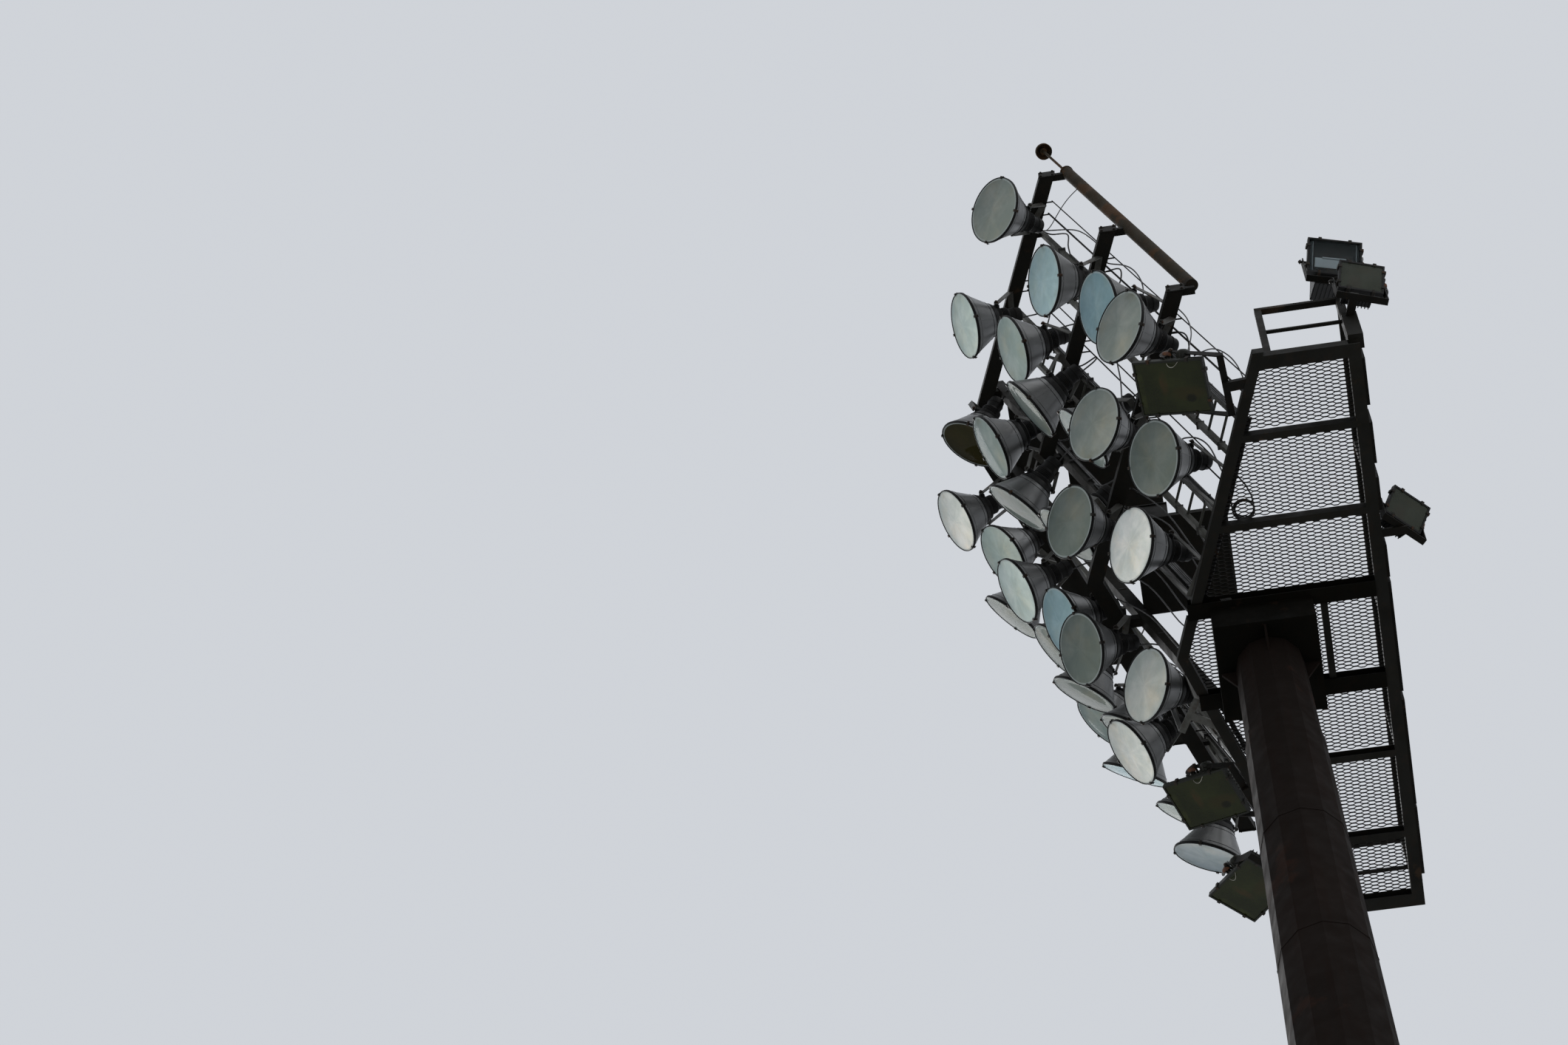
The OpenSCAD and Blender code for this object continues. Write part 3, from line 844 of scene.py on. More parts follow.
@dataclass(frozen=True)
class LensFinish:
    """Front glass with dust and a painted reflection. Each projector's tone, a painted reflection of sky,
    ground and reflector, and its veil come from its marks; tints multiply the tone.
    """

    name: str
    stain: Colour
    cloud: Colour = (0.66, 0.71, 0.71)
    warm: Colour = (1.14, 1.02, 0.90)
    # foot and head tint the glass for painted light and shade: brighter at its foot, darker at its head.
    foot: Colour = (1.22, 1.21, 1.17)
    head: Colour = (0.74, 0.76, 0.78)
    # ray brightens the rays of a painted reflection of the bright reflector behind the glass.
    ray: Colour = (1.34, 1.33, 1.30)
    # ring is a painted highlight: a thin light line just inside the rim, where the bevel catches light.
    ring: Colour = (0.50, 0.56, 0.57)
    half: float = 0.27
    rough: float = 0.34

    def build(self, lib: Library) -> bpy.types.Material:
        """Makes the material.

        Args:
            lib: the shared groups.

        Returns:
            The material.
        """
        made, tree, shader = lib.begin(self.name)
        where = lib.place(tree, Place.PART)
        # The tone is painted reflection: pale where the face shows the sky through the reflector, dark where
        # it shows the ground.
        tone = add_node(tree, "Attribute", attribute_name="tone")
        colour = tone.outputs["Color"]
        cloud = lib.use(tree, lib.patches, where, Scale=2.9, Amount=0.9, Edge=0.36)
        colour = lib.mix(tree, cloud.outputs["Mask"], colour, self.tint(tree, colour, self.cloud))
        warm = lib.use(tree, lib.patches, where, Scale=3.6, Amount=0.62, Edge=0.4)
        colour = lib.mix(tree, warm.outputs["Mask"], colour, self.tint(tree, colour, self.warm))
        split = add_split(tree, where)
        # Painted light and shade: the glass turns brighter towards its foot and darker towards its head.
        fall = add_step(tree, split["Y"], -self.half, self.half)
        colour = lib.mix(tree, fall, self.tint(tree, colour, self.foot), self.tint(tree, colour, self.head))
        # Painted reflection: lighter rays that fan out from the middle, where the bright reflector shows.
        rays = lib.use(tree, lib.radial, where, Turns=2.6, Along=1.0, Amount=0.26)
        colour = lib.mix(tree, rays.outputs["Mask"], colour, self.tint(tree, colour, self.ray))
        out = add_node(tree, "VectorMath", operation="LENGTH")
        feed(tree, add_join(tree, split["X"], split["Y"], 0.0), out.inputs[0])
        away = out.outputs["Value"]
        spots = lib.use(tree, lib.patches, where, Scale=5.5, Amount=0.42, Edge=0.30)
        dirt = add_math(tree, "MULTIPLY", spots.outputs["Mask"], add_step(tree, away, 0.15, 0.26, most=0.7))
        colour = lib.mix(tree, dirt, colour, self.tint(tree, colour, self.stain))
        # Painted highlight: a thin light ring just inside the rim of the glass.
        colour = lib.mix(tree, add_step(tree, away, 0.2610, 0.2625, most=0.45), colour, self.ring)
        tree.links.new(colour, shader.inputs["Base Color"])
        veil = add_node(tree, "Math", operation="MULTIPLY_ADD", use_clamp=True)
        veil.inputs[1].default_value = 0.06
        tree.links.new(cloud.outputs["Mask"], veil.inputs[0])
        tree.links.new(tone.outputs["Alpha"], veil.inputs[2])
        tree.links.new(veil.outputs[0], shader.inputs["Alpha"])
        grain = lib.use(tree, lib.grain, where, Scale=30.0, Rough=self.rough)
        tree.links.new(grain.outputs["Roughness"], shader.inputs["Roughness"])
        shader.inputs["Specular IOR Level"].default_value = 0.0
        shader.inputs["Coat Weight"].default_value = 0.10
        shader.inputs["Coat Roughness"].default_value = 0.06
        return made

    def tint(self, tree: bpy.types.NodeTree, colour: bpy.types.NodeSocket,
             by: Colour) -> bpy.types.NodeSocket:
        """Multiplies a colour that changes over the glass.

        Args:
            tree: of the material.
            colour: the colour.
            by: what each channel is multiplied by.

        Returns:
            The new colour.
        """
        made = add_node(tree, "Mix", data_type="RGBA", blend_type="MULTIPLY")
        made.inputs["Factor"].default_value = 1.0
        tree.links.new(colour, made.inputs["A"])
        made.inputs["B"].default_value = (*by, 1.0)
        return made.outputs["Result"]


@dataclass(frozen=True)
class PaneFinish:
    """Flat glass of a flood unit: dark, with a rusty run, a patch and a painted highlight along the edge at
    +Z.
    """

    name: str
    glass: Colour
    edge: Colour
    run: Colour
    patch: Colour
    alpha: float
    rough: float = 0.14

    def build(self, lib: Library) -> bpy.types.Material:
        """Makes the material.

        Args:
            lib: the shared groups.

        Returns:
            The material.
        """
        made, tree, shader = lib.begin(self.name)
        where = lib.place(tree, Place.PART)
        split = add_split(tree, where)
        cloud = lib.use(tree, lib.patches, where, Scale=2.4, Amount=0.75, Edge=0.55)
        colour = lib.mix(tree, cloud.outputs["Mask"], self.glass, self.edge)
        run = self.area(lib, tree, split, (0.03, 0.06), (0.10, 0.035), 4.0)
        colour = lib.mix(tree, run, colour, self.run)
        patch = self.area(lib, tree, split, (-0.05, -0.10), (0.06, 0.16), 2.0)
        colour = lib.mix(tree, patch, colour, self.patch)
        hollow = self.area(lib, tree, split, (-0.09, -0.13), (0.035, 0.045), 1.0)
        colour = lib.mix(tree, hollow, colour, tuple(c * 0.4 for c in self.glass))
        # Painted highlight: a lighter, broken band along the edge of the glass at +Z.
        sheen = self.area(lib, tree, split, (0.0, 0.235), (0.19, 0.028), 7.0)
        tree.links.new(lib.mix(tree, sheen, colour, self.edge), shader.inputs["Base Color"])
        grain = lib.use(tree, lib.grain, where, Scale=24.0, Rough=self.rough)
        tree.links.new(grain.outputs["Roughness"], shader.inputs["Roughness"])
        shader.inputs["Alpha"].default_value = self.alpha
        shader.inputs["Specular IOR Level"].default_value = 0.12
        shader.inputs["Coat Weight"].default_value = 0.05
        shader.inputs["Coat Roughness"].default_value = 0.04
        return made

    def area(self, lib: Library, tree: bpy.types.NodeTree, split: bpy.types.NodeOutputs,
             middle: tuple[float, float], half: tuple[float, float], scale: float) -> bpy.types.NodeSocket:
        """Mask of a soft, broken patch on the glass.

        Args:
            lib: the shared groups.
            tree: of the material.
            split: parts of the place on the glass.
            middle: centre along the pivot and up the glass.
            half: half sizes the same way.
            scale: of the breaks in it.

        Returns:
            The mask.
        """
        parts = []
        for name, centre, size in zip("XZ", middle, half):
            off = add_math(tree, "DIVIDE", add_math(tree, "SUBTRACT", split[name], centre), size)
            parts.append(add_math(tree, "POWER", add_math(tree, "ABSOLUTE", off), 2.0))
        soft = add_step(tree, add_math(tree, "ADD", *parts), 1.3, 0.2)
        flat = add_join(tree, split["X"], 0.0, split["Z"])
        broken = lib.use(tree, lib.patches, flat, Scale=scale, Amount=0.8, Edge=0.35)
        return add_math(tree, "MULTIPLY", soft, broken.outputs["Mask"])


@dataclass(frozen=True)
class RubberFinish:
    """Cable sheath, plain with a little dust."""

    name: str
    sheath: Colour
    rough: float = 0.55

    def build(self, lib: Library) -> bpy.types.Material:
        """Makes the material.

        Args:
            lib: the shared groups.

        Returns:
            The material.
        """
        made, tree, shader = lib.begin(self.name)
        where = lib.place(tree, Place.OBJECT)
        faded = lib.use(tree, lib.patches, where, Scale=11.0, Amount=0.6, Edge=0.2)
        grey = tuple(min(1.0, c * 1.8 + 0.012) for c in self.sheath)
        tree.links.new(lib.mix(tree, faded.outputs["Mask"], self.sheath, grey), shader.inputs["Base Color"])
        grain = lib.use(tree, lib.grain, where, Scale=260.0, Rough=self.rough)
        tree.links.new(grain.outputs["Roughness"], shader.inputs["Roughness"])
        lib.bump(tree, grain.outputs["Height"], shader, 0.12, 0.001)
        return made


Finish = SteelFinish | ReflectorFinish | BowlFinish | LensFinish | PaneFinish | RubberFinish

FINISHES: dict[str, Finish] = {
    f.name: f
    for f in (
        SteelFinish("shaft_paint", (0.0080, 0.0058, 0.0048), (0.0125, 0.0086, 0.0072),
                    (0.0170, 0.0088, 0.0064),
                    rough=0.72, rust_amount=0.25, rust_scale=1.3, fade_scale=0.45, runs=0.45, dust=0.0,
                    shine=0.02),
        SteelFinish("frame_paint", (0.0046, 0.0044, 0.0031), (0.0084, 0.0078, 0.0054),
                    (0.021, 0.0128, 0.007),
                    rough=0.66, rust_amount=0.18, rust_scale=4.0, fade_scale=1.4, runs=0.35, dust=0.2,
                    shine=0.12),
        SteelFinish("rail_zinc", (0.048, 0.049, 0.042), (0.030, 0.030, 0.025),
                    (0.036, 0.023, 0.014),
                    rough=0.6, metal=0.2, rust_amount=0.22, rust_scale=5.0, fade_scale=2.2, runs=0.5,
                    dust=0.2, shine=0.2),
        SteelFinish("foot_paint", (0.035, 0.025, 0.021), (0.055, 0.042, 0.036), (0.11, 0.045, 0.02),
                    rust_amount=0.42, rust_scale=5.0),
        SteelFinish("deck_steel", (0.0050, 0.0048, 0.0038), (0.0090, 0.0082, 0.0062), (0.03, 0.017, 0.009),
                    rough=0.6, metal=0.1, rust_amount=0.25, rust_scale=9.0, shine=0.12),
        SteelFinish("box_paint", (0.0042, 0.0040, 0.0031), (0.0078, 0.0072, 0.0056), (0.018, 0.011, 0.0065),
                    rough=0.6, rust_amount=0.2, rust_scale=6.0, runs=0.5, dust=0.0, shine=0.08),
        # A darker copy of the frame paint, with no dust and little shine, for the beams and head box under
        # the deck: painted shade.
        SteelFinish("under_paint", (0.0030, 0.0029, 0.0021), (0.0052, 0.0048, 0.0034),
                    (0.011, 0.0072, 0.0046),
                    rough=0.7, rust_amount=0.15, rust_scale=5.0, runs=0.4, dust=0.0, shine=0.03),
        SteelFinish("pipe_rust", (0.0285, 0.0225, 0.0140), (0.0150, 0.0130, 0.0095), (0.052, 0.028, 0.0135),
                    rough=0.8, rust_amount=0.44, rust_scale=2.6, fade_scale=2.2, runs=0.5, dust=0.1, bump=0.5,
                    shine=0.1),
        BowlFinish("spun_metal", (0.092, 0.095, 0.096), (0.042, 0.043, 0.041), (0.062, 0.040, 0.026)),
        SteelFinish("lamp_black", (0.0032, 0.0032, 0.0030), (0.0065, 0.0063, 0.0058), (0.012, 0.008, 0.006),
                    rough=0.55, rust_amount=0.12, rust_scale=8.0, runs=0.25, dust=0.05, shine=0.14),
        SteelFinish("zinc", (0.072, 0.072, 0.066), (0.034, 0.034, 0.030),
                    (0.050, 0.031, 0.019),
                    rough=0.5, metal=0.4, rust_amount=0.2, rust_scale=9.0, fade_scale=5.0, runs=0.5,
                    shine=0.3),
        SteelFinish("bolt_steel", (0.022, 0.020, 0.017), (0.013, 0.011, 0.009), (0.040, 0.021, 0.012),
                    rough=0.5, metal=0.5, rust_amount=0.35, rust_scale=20.0),
        SteelFinish("flood_green", (0.0085, 0.0095, 0.0065), (0.0145, 0.0155, 0.0105), (0.050, 0.026, 0.013),
                    rough=0.5, rust_amount=0.2, rust_scale=7.0, place=Place.PART),
        SteelFinish("flood_black", (0.0065, 0.0065, 0.0062), (0.0120, 0.0120, 0.0115), (0.032, 0.018, 0.012),
                    rough=0.42, rust_amount=0.12, rust_scale=8.0, place=Place.PART),
        SteelFinish("rusty_cap", (0.105, 0.052, 0.036), (0.066, 0.038, 0.030), (0.15, 0.066, 0.032),
                    rough=0.75, rust_amount=0.5, rust_scale=30.0, fade_scale=14.0, place=Place.PART),
        SteelFinish("cheek_metal", (0.36, 0.43, 0.46), (0.26, 0.31, 0.34), (0.16, 0.15, 0.13),
                    rough=0.42, metal=0.5, rust_amount=0.08, rust_scale=9.0, runs=0.2, dust=0.0, bump=0.05,
                    place=Place.PART),
        ReflectorFinish("bright_reflector", (0.40, 0.43, 0.42), (0.26, 0.29, 0.28)),
        LensFinish("dusty_glass", (0.62, 0.58, 0.48)),
        PaneFinish("olive_pane", (0.0100, 0.0130, 0.0036), (0.032, 0.038, 0.0095), (0.048, 0.026, 0.009),
                   (0.024, 0.021, 0.0055), 0.98),
        PaneFinish("clear_pane", (0.05, 0.065, 0.07), (0.08, 0.10, 0.105), (0.05, 0.05, 0.05),
                   (0.06, 0.06, 0.05), 0.14),
        PaneFinish("grey_pane", (0.036, 0.042, 0.032), (0.062, 0.068, 0.054), (0.05, 0.05, 0.036),
                   (0.05, 0.05, 0.04), 0.9),
        RubberFinish("black_sheath", (0.0085, 0.0085, 0.0085)),
        RubberFinish("pale_sheath", (0.20, 0.19, 0.17)),
    )
}


class Finishes:
    """Makes each material once, when it is first asked for."""

    def __init__(self) -> None:
        """Builds the shared groups."""
        self.lib = Library()
        self.made: dict[str, bpy.types.Material] = {}

    def __getitem__(self, name: str) -> bpy.types.Material:
        """Looks up a material, and makes it the first time.

        Args:
            name: of the finish.

        Returns:
            The material.
        """
        if name not in self.made:
            self.made[name] = FINISHES[name].build(self.lib)
        return self.made[name]

    def paint_node(self, node: str, name: str) -> None:
        """Gives a CAD node that is still shown its material.

        Args:
            node: name of the CAD node.
            name: of the finish.
        """
        data = frame["nodes"][node].data
        data.materials.clear()
        data.materials.append(self[name])


# The steel's shape


@dataclass(frozen=True)
class Beam:
    """One V beam seen from above: height, end and middle along Y."""

    z: float
    end: float
    apex: float
    half: float = 2.25

    def y(self, x: float) -> float:
        """Middle of the beam at a station."""
        return self.apex + (self.end - self.apex) * abs(x) / self.half

    @property
    def angle(self) -> float:
        """Sweep of a wing in degrees."""
        return math.degrees(math.atan((self.end - self.apex) / self.half))


DECK = 26.6
MAST_X = 0.38
MAST_Y = -0.85
MAST_RAKE = math.radians(14.7)
TIER_A = Beam(31.96, -1.19, -2.13)
TIER_B = Beam(30.08, -0.735, -1.665)
TIER_C = Beam(28.27, -0.29, -1.2)
EDGE = Beam(26.55, 0.206, -0.61)


def mast_y(z: float) -> float:
    """Middle of a mast at a height."""
    return MAST_Y - math.tan(MAST_RAKE) * (z - TIER_C.z)


class Look(Enum):
    """How a projector's face looks: its tone, a painted reflection of sky, ground and reflector, and how much
    it hides.
    """

    # Face tones are painted reflection: pale faces show the sky through the reflector, dark ones the ground.
    TEAL = (0.350, 0.405, 0.395, 0.92)
    PEARL = (0.560, 0.645, 0.620, 0.94)
    MILK = (0.720, 0.810, 0.790, 0.95)
    AQUA = (0.470, 0.550, 0.535, 0.93)
    GREY = (0.325, 0.352, 0.335, 0.92)
    SMOKE = (0.215, 0.242, 0.232, 0.92)
    AZURE = (0.360, 0.505, 0.565, 0.94)
    DARK = (0.205, 0.232, 0.217, 0.92)
    BLUE = (0.300, 0.440, 0.505, 0.94)
    SKY = (0.460, 0.610, 0.665, 0.95)
    WHITE = (0.985, 0.985, 0.960, 0.97)
    CLOUD = (0.440, 0.490, 0.530, 0.94)
    OLIVE = (0.031, 0.027, 0.010, 0.95)
    TAN = (0.590, 0.610, 0.590, 0.94)


@dataclass(frozen=True)
class Projector:
    """One round projector on a beam, in millimetres and degrees."""

    x: float
    reach: float
    pan: float
    tilt: float
    look: Look

    def pivot(self, beam: Beam, lift: float) -> Vector:
        """Middle of its trunnion."""
        back = self.reach * MM / math.cos(math.radians(beam.angle))
        return Vector((self.x * MM, beam.y(self.x * MM) - back, beam.z + lift))

    def frame(self, beam: Beam, lift: float) -> Matrix:
        """Frame with the face along +Z."""
        return spot(*self.pivot(beam, lift)) @ turn(self.pan, "Z") @ turn(self.tilt, "X") @ turn(90, "X")


P, K = Projector, Look
ROWS: dict[str, tuple[Beam, float, tuple[Projector, ...]]] = {
    "a_down": (TIER_A, -0.35, (P(1995, 140, 38, 30, K.GREY), P(1160, 115, 4, 24, K.MILK),
                               P(287, -25, -42, 47, K.OLIVE), P(-518, 190, -6, 31, K.WHITE),
                               P(-1348, 235, -38, 28, K.SMOKE))),
    "b_up": (TIER_B, 0.40, (P(1274, 210, 1, 25, K.AQUA), P(510, 195, -10, 25, K.TEAL),
                            P(-443, 230, -9, 37, K.PEARL), P(-1293, 250, -25, 31, K.GREY),
                            P(-1985, 265, -27, 37, K.TEAL))),
    "b_down": (TIER_B, -0.35, (P(1966, 155, 17, 23, K.SKY), P(1123, 85, -27, 21, K.SMOKE),
                               P(350, 30, -38, 29, K.SMOKE), P(-492, 135, -6, 30, K.MILK),
                               P(-1319, 150, -48, 34, K.SMOKE), P(-2064, 175, -60, 30, K.BLUE))),
    "c_up": (TIER_C, 0.40, (P(2043, 234, 14, 28, K.BLUE), P(1183, 158, -24, 25, K.TEAL),
                            P(446, 118, -31, 30, K.GREY), P(-421, 205, 3, 30, K.AZURE),
                            P(-1258, 203, -45, 35, K.GREY), P(-2025, 183, -53, 32, K.TEAL))),
    "c_down": (TIER_C, -0.35, (P(2001, 114, 36, 22, K.GREY), P(1290, 127, 36, 29, K.GREY),
                               P(557, 104, 32, 28, K.DARK), P(-407, 82, 16, 33, K.DARK),
                               P(-1198, 130, -12, 33, K.WHITE), P(-2020, 117, -60, 43, K.CLOUD))),
    "d_up": (EDGE, 0.45, (P(1346, 255, 25, 33, K.DARK), P(672, 247, 27, 25, K.WHITE),
                          P(-465, 215, 30, 24, K.TAN))),
}
GROUPS = {"upper": ("a_down", "b_up", "b_down"), "lower": ("c_up", "c_down", "d_up")}


@dataclass
class ProjectorBank:
    """All the round projectors of the upper or lower rows. Outlines are radius and height, in metres."""

    name: str
    fin: Finishes
    neck: float = 0.112
    segments: int = 64
    skin: float = 0.0035
    cone: Profile = ((.134, .050), (.153, .082), (.173, .114), (.193, .147), (.213, .180), (.233, .213),
                     (.253, .246), (.2645, .265), (.2735, .280))
    roll: Profile = ((.2745, .286), (.2805, .2865), (.2825, .289), (.2825, .2955), (.281, .298),
                     (.2725, .298))
    lip: Profile = ((.2715, .2975),)
    beads: tuple[tuple[float, float, int], ...] = ((.100, .0014, 2), (.252, .0030, 0))
    face: Profile = ((0, .3175), (.05, .3170), (.10, .3152), (.15, .3122), (.20, .3080), (.245, .3035),
                     (.252, .3040), (.262, .3035), (.272, .3010), (.2775, .3000))
    glass_thick: float = .004
    clamp: Profile = ((.2835, .284), (.2850, .290), (.2850, .303), (.2830, .3060), (.2790, .3065),
                      (.2765, .3045), (.2770, .3025), (.2815, .3010), (.2815, .284))
    bulb: Profile = ((0, .205), (.026, .198), (.044, .172), (.050, .140), (.043, .095), (.027, .062),
                     (.025, .0205), (0, .0205))
    gland: Profile = ((0, -.004), (.013, -.004), (.013, .010), (.010, .013), (.010, .020), (.0075, .024),
                      (0, .024))
    boss: Profile = ((0, 0), (.026, 0), (.026, .022), (.020, .026), (.0128, .026), (.0128, .034), (0, .034))

    def lamps(self) -> list[tuple[Projector, Matrix, float]]:
        """Lists the projectors of the bank.

        Returns:
            Each projector with its frame and a number of its own.
        """
        out = []
        for row in GROUPS[self.name]:
            beam, lift, lamps = ROWS[row]
            for lamp in lamps:
                out.append((lamp, lamp.frame(beam, lift), 5.0 * (len(out) + 1)))
        return out

    def outer(self) -> list[tuple[float, float]]:
        """Outside of the reflector from neck to rim."""
        return [(self.neck, .016), (self.neck + .009, .028), *self.cone]

    def at_height(self, z: float) -> float:
        """Finds how wide the cone is.

        Args:
            z: height over the trunnion.

        Returns:
            Outside radius there.
        """
        for (r0, z0), (r1, z1) in zip(self.outer(), self.outer()[1:]):
            if z0 <= z <= z1:
                return r0 + (r1 - r0) * (z - z0) / (z1 - z0)
        return self.neck

    def seam(self, shape: Shape, at: Matrix, degrees: float) -> None:
        """Adds the lapped seam that runs down the cone.

        Args:
            shape: the piece it belongs to.
            at: frame of the projector.
            degrees: place round the cone.
        """
        marks = [.070 + .010 * k for k in range(21)]
        points, faces = [], []
        for z in marks:
            r = self.at_height(z)
            for high, side in ((-.001, -1), (-.001, 1), (.0022, 1), (.0022, -1)):
                a = math.radians(degrees) + side * .0035 / r
                points.append(((r + high) * math.cos(a), (r + high) * math.sin(a), z))
        for i in range(len(marks) - 1):
            for k in range(4):
                m = (k + 1) % 4
                faces.append((4 * i + k, 4 * i + m, 4 * i + 4 + m, 4 * i + 4 + k))
        faces.append((0, 1, 2, 3))
        faces.append(tuple(range(len(points) - 4, len(points)))[::-1])
        shape.add(points, faces, at)

    def build_reflectors(self) -> None:
        """Spun bowls: outside, inside, bead and stiffening rings."""
        shape = Shape()
        out = self.outer()
        inner = [(r - self.skin, z + .001) for r, z in out]
        mid = [((a[0] + b[0]) / 2, (a[1] + b[1]) / 2) for a, b in zip(out, inner)]
        outside = [*out, *self.roll, *mid[::-1]]
        inside = [*((r - .0002, z) for r, z in mid), *self.lip, *inner[::-1]]
        for _, at, shift in self.lamps():
            shape.shift = shift
            shape.lathe(outside, self.segments, at, 0)
            shape.lathe(inside, self.segments, at, 1)
            for z, half, finish in self.beads:
                r = self.at_height(z)
                low, high = z - half, z + half
                bead = [(r - .002, low), (r + .0018, low), (r + .0022, high), (r - .001, high)]
                shape.lathe(bead, self.segments, at, finish)
            self.seam(shape, at, -62 + 9 * math.sin(shift))
        finishes = [self.fin["spun_metal"], self.fin["bright_reflector"], self.fin["lamp_black"]]
        shape.piece(f"reflectors_{self.name}", finishes, TOWER, [f"bowls_{self.name}"])

    def build_glasses(self) -> None:
        """Slightly domed front glasses with a moulded step at the rim."""
        shape = Shape()
        back = [(r, z - self.glass_thick) for r, z in self.face]
        for lamp, at, shift in self.lamps():
            shape.shift = shift
            # The mark gives the glass its tone, a painted reflection of sky and ground.
            shape.mark = lamp.look.value
            shape.lathe([*self.face, *back[::-1]], self.segments, at, 0)
        shape.piece(f"front_glasses_{self.name}", [self.fin["dusty_glass"]], TOWER,
                    [f"glasses_{self.name}"])

    def build_rims(self) -> None:
        """Dark clamp rings with four clips each, and a lamp inside."""
        shape = Shape()
        for _, at, shift in self.lamps():
            shape.shift = shift
            shape.lathe(self.clamp, self.segments, at, 0)
            for k in range(4):
                clip = at @ turn(35 + 90 * k + 7 * math.sin(shift), "Z")
                shape.box((.020, .022, .006), clip @ spot(.278, 0, .3105), 1, .0015)
                shape.box((.006, .022, .038), clip @ spot(.2882, 0, .2945), 1, .0015)
                shape.bolt(clip @ spot(.291, 0, .288, turn(90, "Y")), .010, .004, 1)
            shape.lathe(self.bulb, 20, at, 2)
        finishes = [self.fin["lamp_black"], self.fin["bolt_steel"], self.fin["pale_sheath"]]
        shape.piece(f"lamp_rims_{self.name}", finishes, TOWER)

    def housing(self) -> list[tuple[float, float]]:
        """Outline of a lamp housing, drawn inwards from the neck.

        Returns:
            Its flange, four cooling ribs, bayonet ring and end cap.
        """
        n = self.neck
        outline = [(0, .0155), (n - .004, .0155), (n, .012), (n, -.012), (n - .004, -.016), (n - .024, -.020),
                   (n - .029, -.026)]
        for k in range(4):
            z = -.036 - .013 * k
            outline += [(n - .030, z), (n - .0265, z - .002), (n - .0265, z - .006), (n - .030, z - .008)]
        outline += [(n - .032, -.092), (n - .044, -.104), (n - .045, -.150), (n - .041, -.153),
                    (n - .041, -.160), (n - .046, -.163), (n - .050, -.203), (n - .056, -.2125), (0, -.2125)]
        return outline

    def build_housings(self) -> None:
        """Lamp housings behind the necks, with a collar on the cone, bolts, gland and trunnion bosses."""
        shape = Shape()
        collar = [(r + .0015, z) for r, z in self.outer()[:3]] + [(self.at_height(.062) + .0015, .062)]
        cover = [(r + .0045, z) for r, z in collar]
        for _, at, shift in self.lamps():
            shape.shift = shift
            shape.lathe(self.housing(), 40, at, 0)
            shape.lathe(collar + cover[::-1], 48, at, 0)
            for k in range(6):
                face = spot(self.neck - .011, 0, -.016, turn(180, "X"))
                shape.bolt(at @ turn(60 * k + 15, "Z") @ face, .011, .006, 1)
            shape.lathe(self.gland, 12, at @ turn(200, "Z") @ spot(.030, 0, -.205, turn(180, "X")), 0)
            for s in (-1, 1):
                shape.lathe(self.boss, 20, at @ turn(90 * s, "Y") @ spot(0, 0, .100), 0)
        shape.piece(f"lamp_housings_{self.name}", [self.fin["lamp_black"], self.fin["bolt_steel"]], TOWER,
                    [f"tails_{self.name}"])

    def build_yoke_bolts(self) -> None:
        """Bolts at the ends of each trunnion."""
        shape = Shape()
        for _, at, _ in self.lamps():
            for s in (-1, 1):
                shape.bolt(at @ turn(90 * s, "Y") @ spot(0, 0, .146), .030, .013)
        shape.piece(f"yoke_bolts_{self.name}", [self.fin["bolt_steel"]], TOWER)

    def build(self) -> None:
        """Builds every piece of the bank."""
        self.build_reflectors()
        self.build_glasses()
        self.build_rims()
        self.build_housings()
        self.build_yoke_bolts()


# Deck


